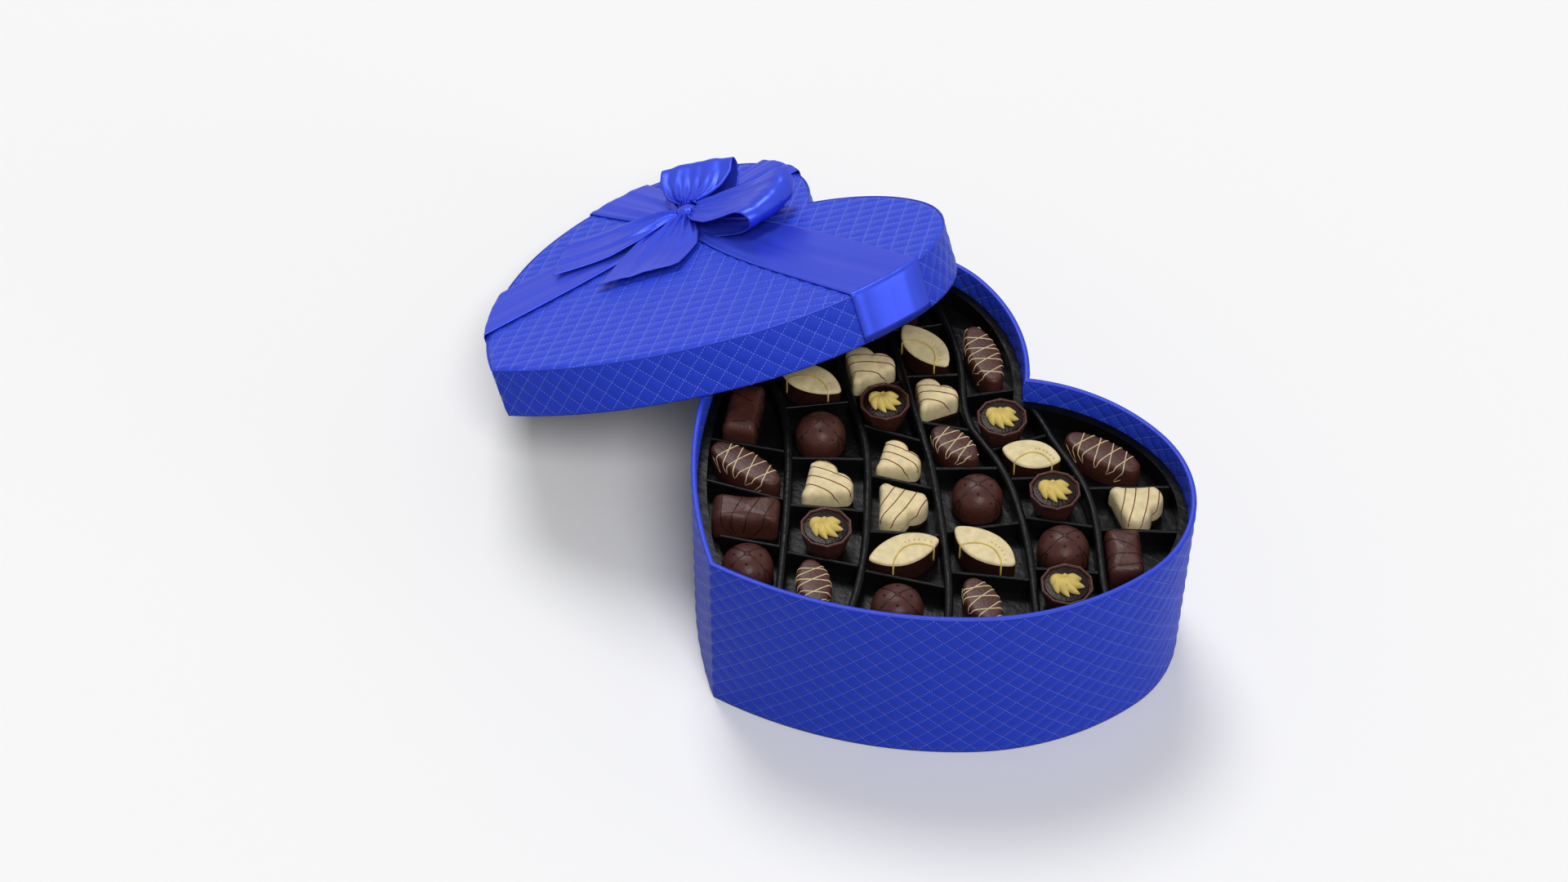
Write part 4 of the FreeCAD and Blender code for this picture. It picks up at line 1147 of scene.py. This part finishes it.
class PRALINEBOX_OT_bars(bpy.types.Operator):
    """Make the praline bars"""
    bl_idname = "praline_box.bars"
    bl_label = "Bars"
    bl_options = {"REGISTER", "UNDO"}

    def execute(self, context):
        look = [milk_chocolate(), dark_chocolate()]
        for kind, length in (("log", 35), ("short_log", 30)):
            set_in_cell(kind, partial(log_shape, length), look, "milk_chocolate")
        return {"FINISHED"}


class PRALINEBOX_OT_ovals(bpy.types.Operator):
    """Make the drizzled ovals"""
    bl_idname = "praline_box.ovals"
    bl_label = "Ovals"
    bl_options = {"REGISTER", "UNDO"}

    def execute(self, context):
        look = [milk_chocolate(), drizzle()]
        for kind, length, turns_of_line in (("oval", 44, 2.4), ("short_oval", 31, 2)):
            set_in_cell(kind, partial(oval_shape, length, turns_of_line), look, "milk_chocolate")
        return {"FINISHED"}


class PRALINEBOX_OT_leaves(bpy.types.Operator):
    """Make the leaf pralines"""
    bl_idname = "praline_box.leaves"
    bl_label = "Leaves"
    bl_options = {"REGISTER", "UNDO"}

    def execute(self, context):
        look = [dark_chocolate(), white_chocolate(), icing()]
        for kind, length in (("leaf", 38), ("small_leaf", 31)):
            set_in_cell(kind, partial(leaf_shape, length), look, "dark_chocolate")
        return {"FINISHED"}


class PRALINEBOX_OT_hearts(bpy.types.Operator):
    """Make the white hearts"""
    bl_idname = "praline_box.hearts"
    bl_label = "Hearts"
    bl_options = {"REGISTER", "UNDO"}

    def execute(self, context):
        look = [dark_chocolate(), white_chocolate(), stripes()]
        for kind, width in (("white_heart", 29), ("small_heart", 25)):
            set_in_cell(kind, partial(heart_shape, width), look, "white_chocolate")
        return {"FINISHED"}


class PRALINEBOX_OT_cups(bpy.types.Operator):
    """Make the filled cups"""
    bl_idname = "praline_box.cups"
    bl_label = "Cups"
    bl_options = {"REGISTER", "UNDO"}

    def execute(self, context):
        look = [milk_chocolate(), ganache(), icing()]
        set_in_cell("cup", cup_shape, look, "milk_chocolate", crease=35)
        return {"FINISHED"}


class PRALINEBOX_OT_stage(bpy.types.Operator):
    """Set up the floor, the studio light and the camera"""
    bl_idname = "praline_box.stage"
    bl_label = "Stage"
    bl_options = {"REGISTER", "UNDO"}

    def execute(self, context):
        scene = context.scene
        scene.view_settings.view_transform = "Standard"
        reach, below = 6, 0.2 * MM
        corners = [(x * reach, y * reach, -below) for x, y in ((-1, -1), (1, -1), (1, 1), (-1, 1))]
        floor_mesh = bpy.data.meshes.new("floor")
        floor_mesh.from_pydata(corners, [], [(0, 1, 2, 3)])
        floor_mesh.materials.append(studio_paper())
        floor = bpy.data.objects.new("floor", floor_mesh)
        scene.collection.objects.link(floor)

        # A pale room at full strength where it is seen, which lights the box more weakly.
        scene.world = bpy.data.worlds.new("studio")
        scene.world.use_nodes = True
        tree, room_light = scene.world.node_tree, 0.27
        strength = add_node(tree, "ShaderNodeMapRange", seen(tree), 0, 1, room_light, 1)
        dress(tree.nodes["Background"], Color=opaque(colours().backdrop), Strength=strength)

        # Even lights from above on the left and on the right, and a weak one along the floor.
        for name, source, power in (("left_light", (-0.5, 0.2, 0.84), 1.55),
                                    ("right_light", (0.55, -0.25, 0.8), 1.65),
                                    ("side_light", (0.9, 0.43, 0.1), 0.5)):
            lamp = bpy.data.lights.new(name, "SUN")
            lamp.angle = math.radians(24)
            lamp.energy = power
            thing = bpy.data.objects.new(name, lamp)
            scene.collection.objects.link(thing)
            thing.rotation_euler = (-Vector(source)).to_track_quat("-Z", "Y").to_euler()

        camera = bpy.data.cameras.new("camera")
        camera.sensor_width = SENSOR_WIDTH
        camera.lens = CAMERA_LENS
        view = bpy.data.objects.new("camera", camera)
        scene.collection.objects.link(view)
        view.location = CAMERA_PLACE
        view.rotation_euler = (math.radians(90 - CAMERA_DIP), 0, math.radians(CAMERA_HEADING))
        bpy.context.scene.camera = view
        return {"FINISHED"}


class PRALINEBOX_PT_panel(bpy.types.Panel):
    """Sizes, colours and steps of the praline box"""
    bl_idname = "PRALINEBOX_PT_panel"
    bl_label = "Praline box"
    bl_space_type = "VIEW_3D"
    bl_region_type = "UI"
    bl_category = "Praline box"

    def draw(self, context):
        for group in (context.scene.praline_box_sizes, context.scene.praline_box_colours):
            for name in group.__annotations__:
                self.layout.prop(group, name)
        for step in STEPS:
            self.layout.operator(step.bl_idname)


STEPS = (
    PRALINEBOX_OT_base_covers, PRALINEBOX_OT_lid_covers, PRALINEBOX_OT_ribbon_bands, PRALINEBOX_OT_bow,
    PRALINEBOX_OT_boards, PRALINEBOX_OT_domes, PRALINEBOX_OT_bars, PRALINEBOX_OT_ovals,
    PRALINEBOX_OT_leaves, PRALINEBOX_OT_hearts, PRALINEBOX_OT_cups, PRALINEBOX_OT_stage,
)
CLASSES = (PralineBoxSizes, PralineBoxColours, *STEPS, PRALINEBOX_PT_panel)


def register():
    for kind in CLASSES:
        bpy.utils.register_class(kind)
    bpy.types.Scene.praline_box_sizes = bpy.props.PointerProperty(type=PralineBoxSizes)
    bpy.types.Scene.praline_box_colours = bpy.props.PointerProperty(type=PralineBoxColours)


def unregister():
    del bpy.types.Scene.praline_box_colours
    del bpy.types.Scene.praline_box_sizes
    for kind in reversed(CLASSES):
        bpy.utils.unregister_class(kind)


def main():
    register()
    for step in STEPS:
        getattr(bpy.ops.praline_box, step.bl_idname.split(".")[1])()


if __name__ == "__main__":
    main()
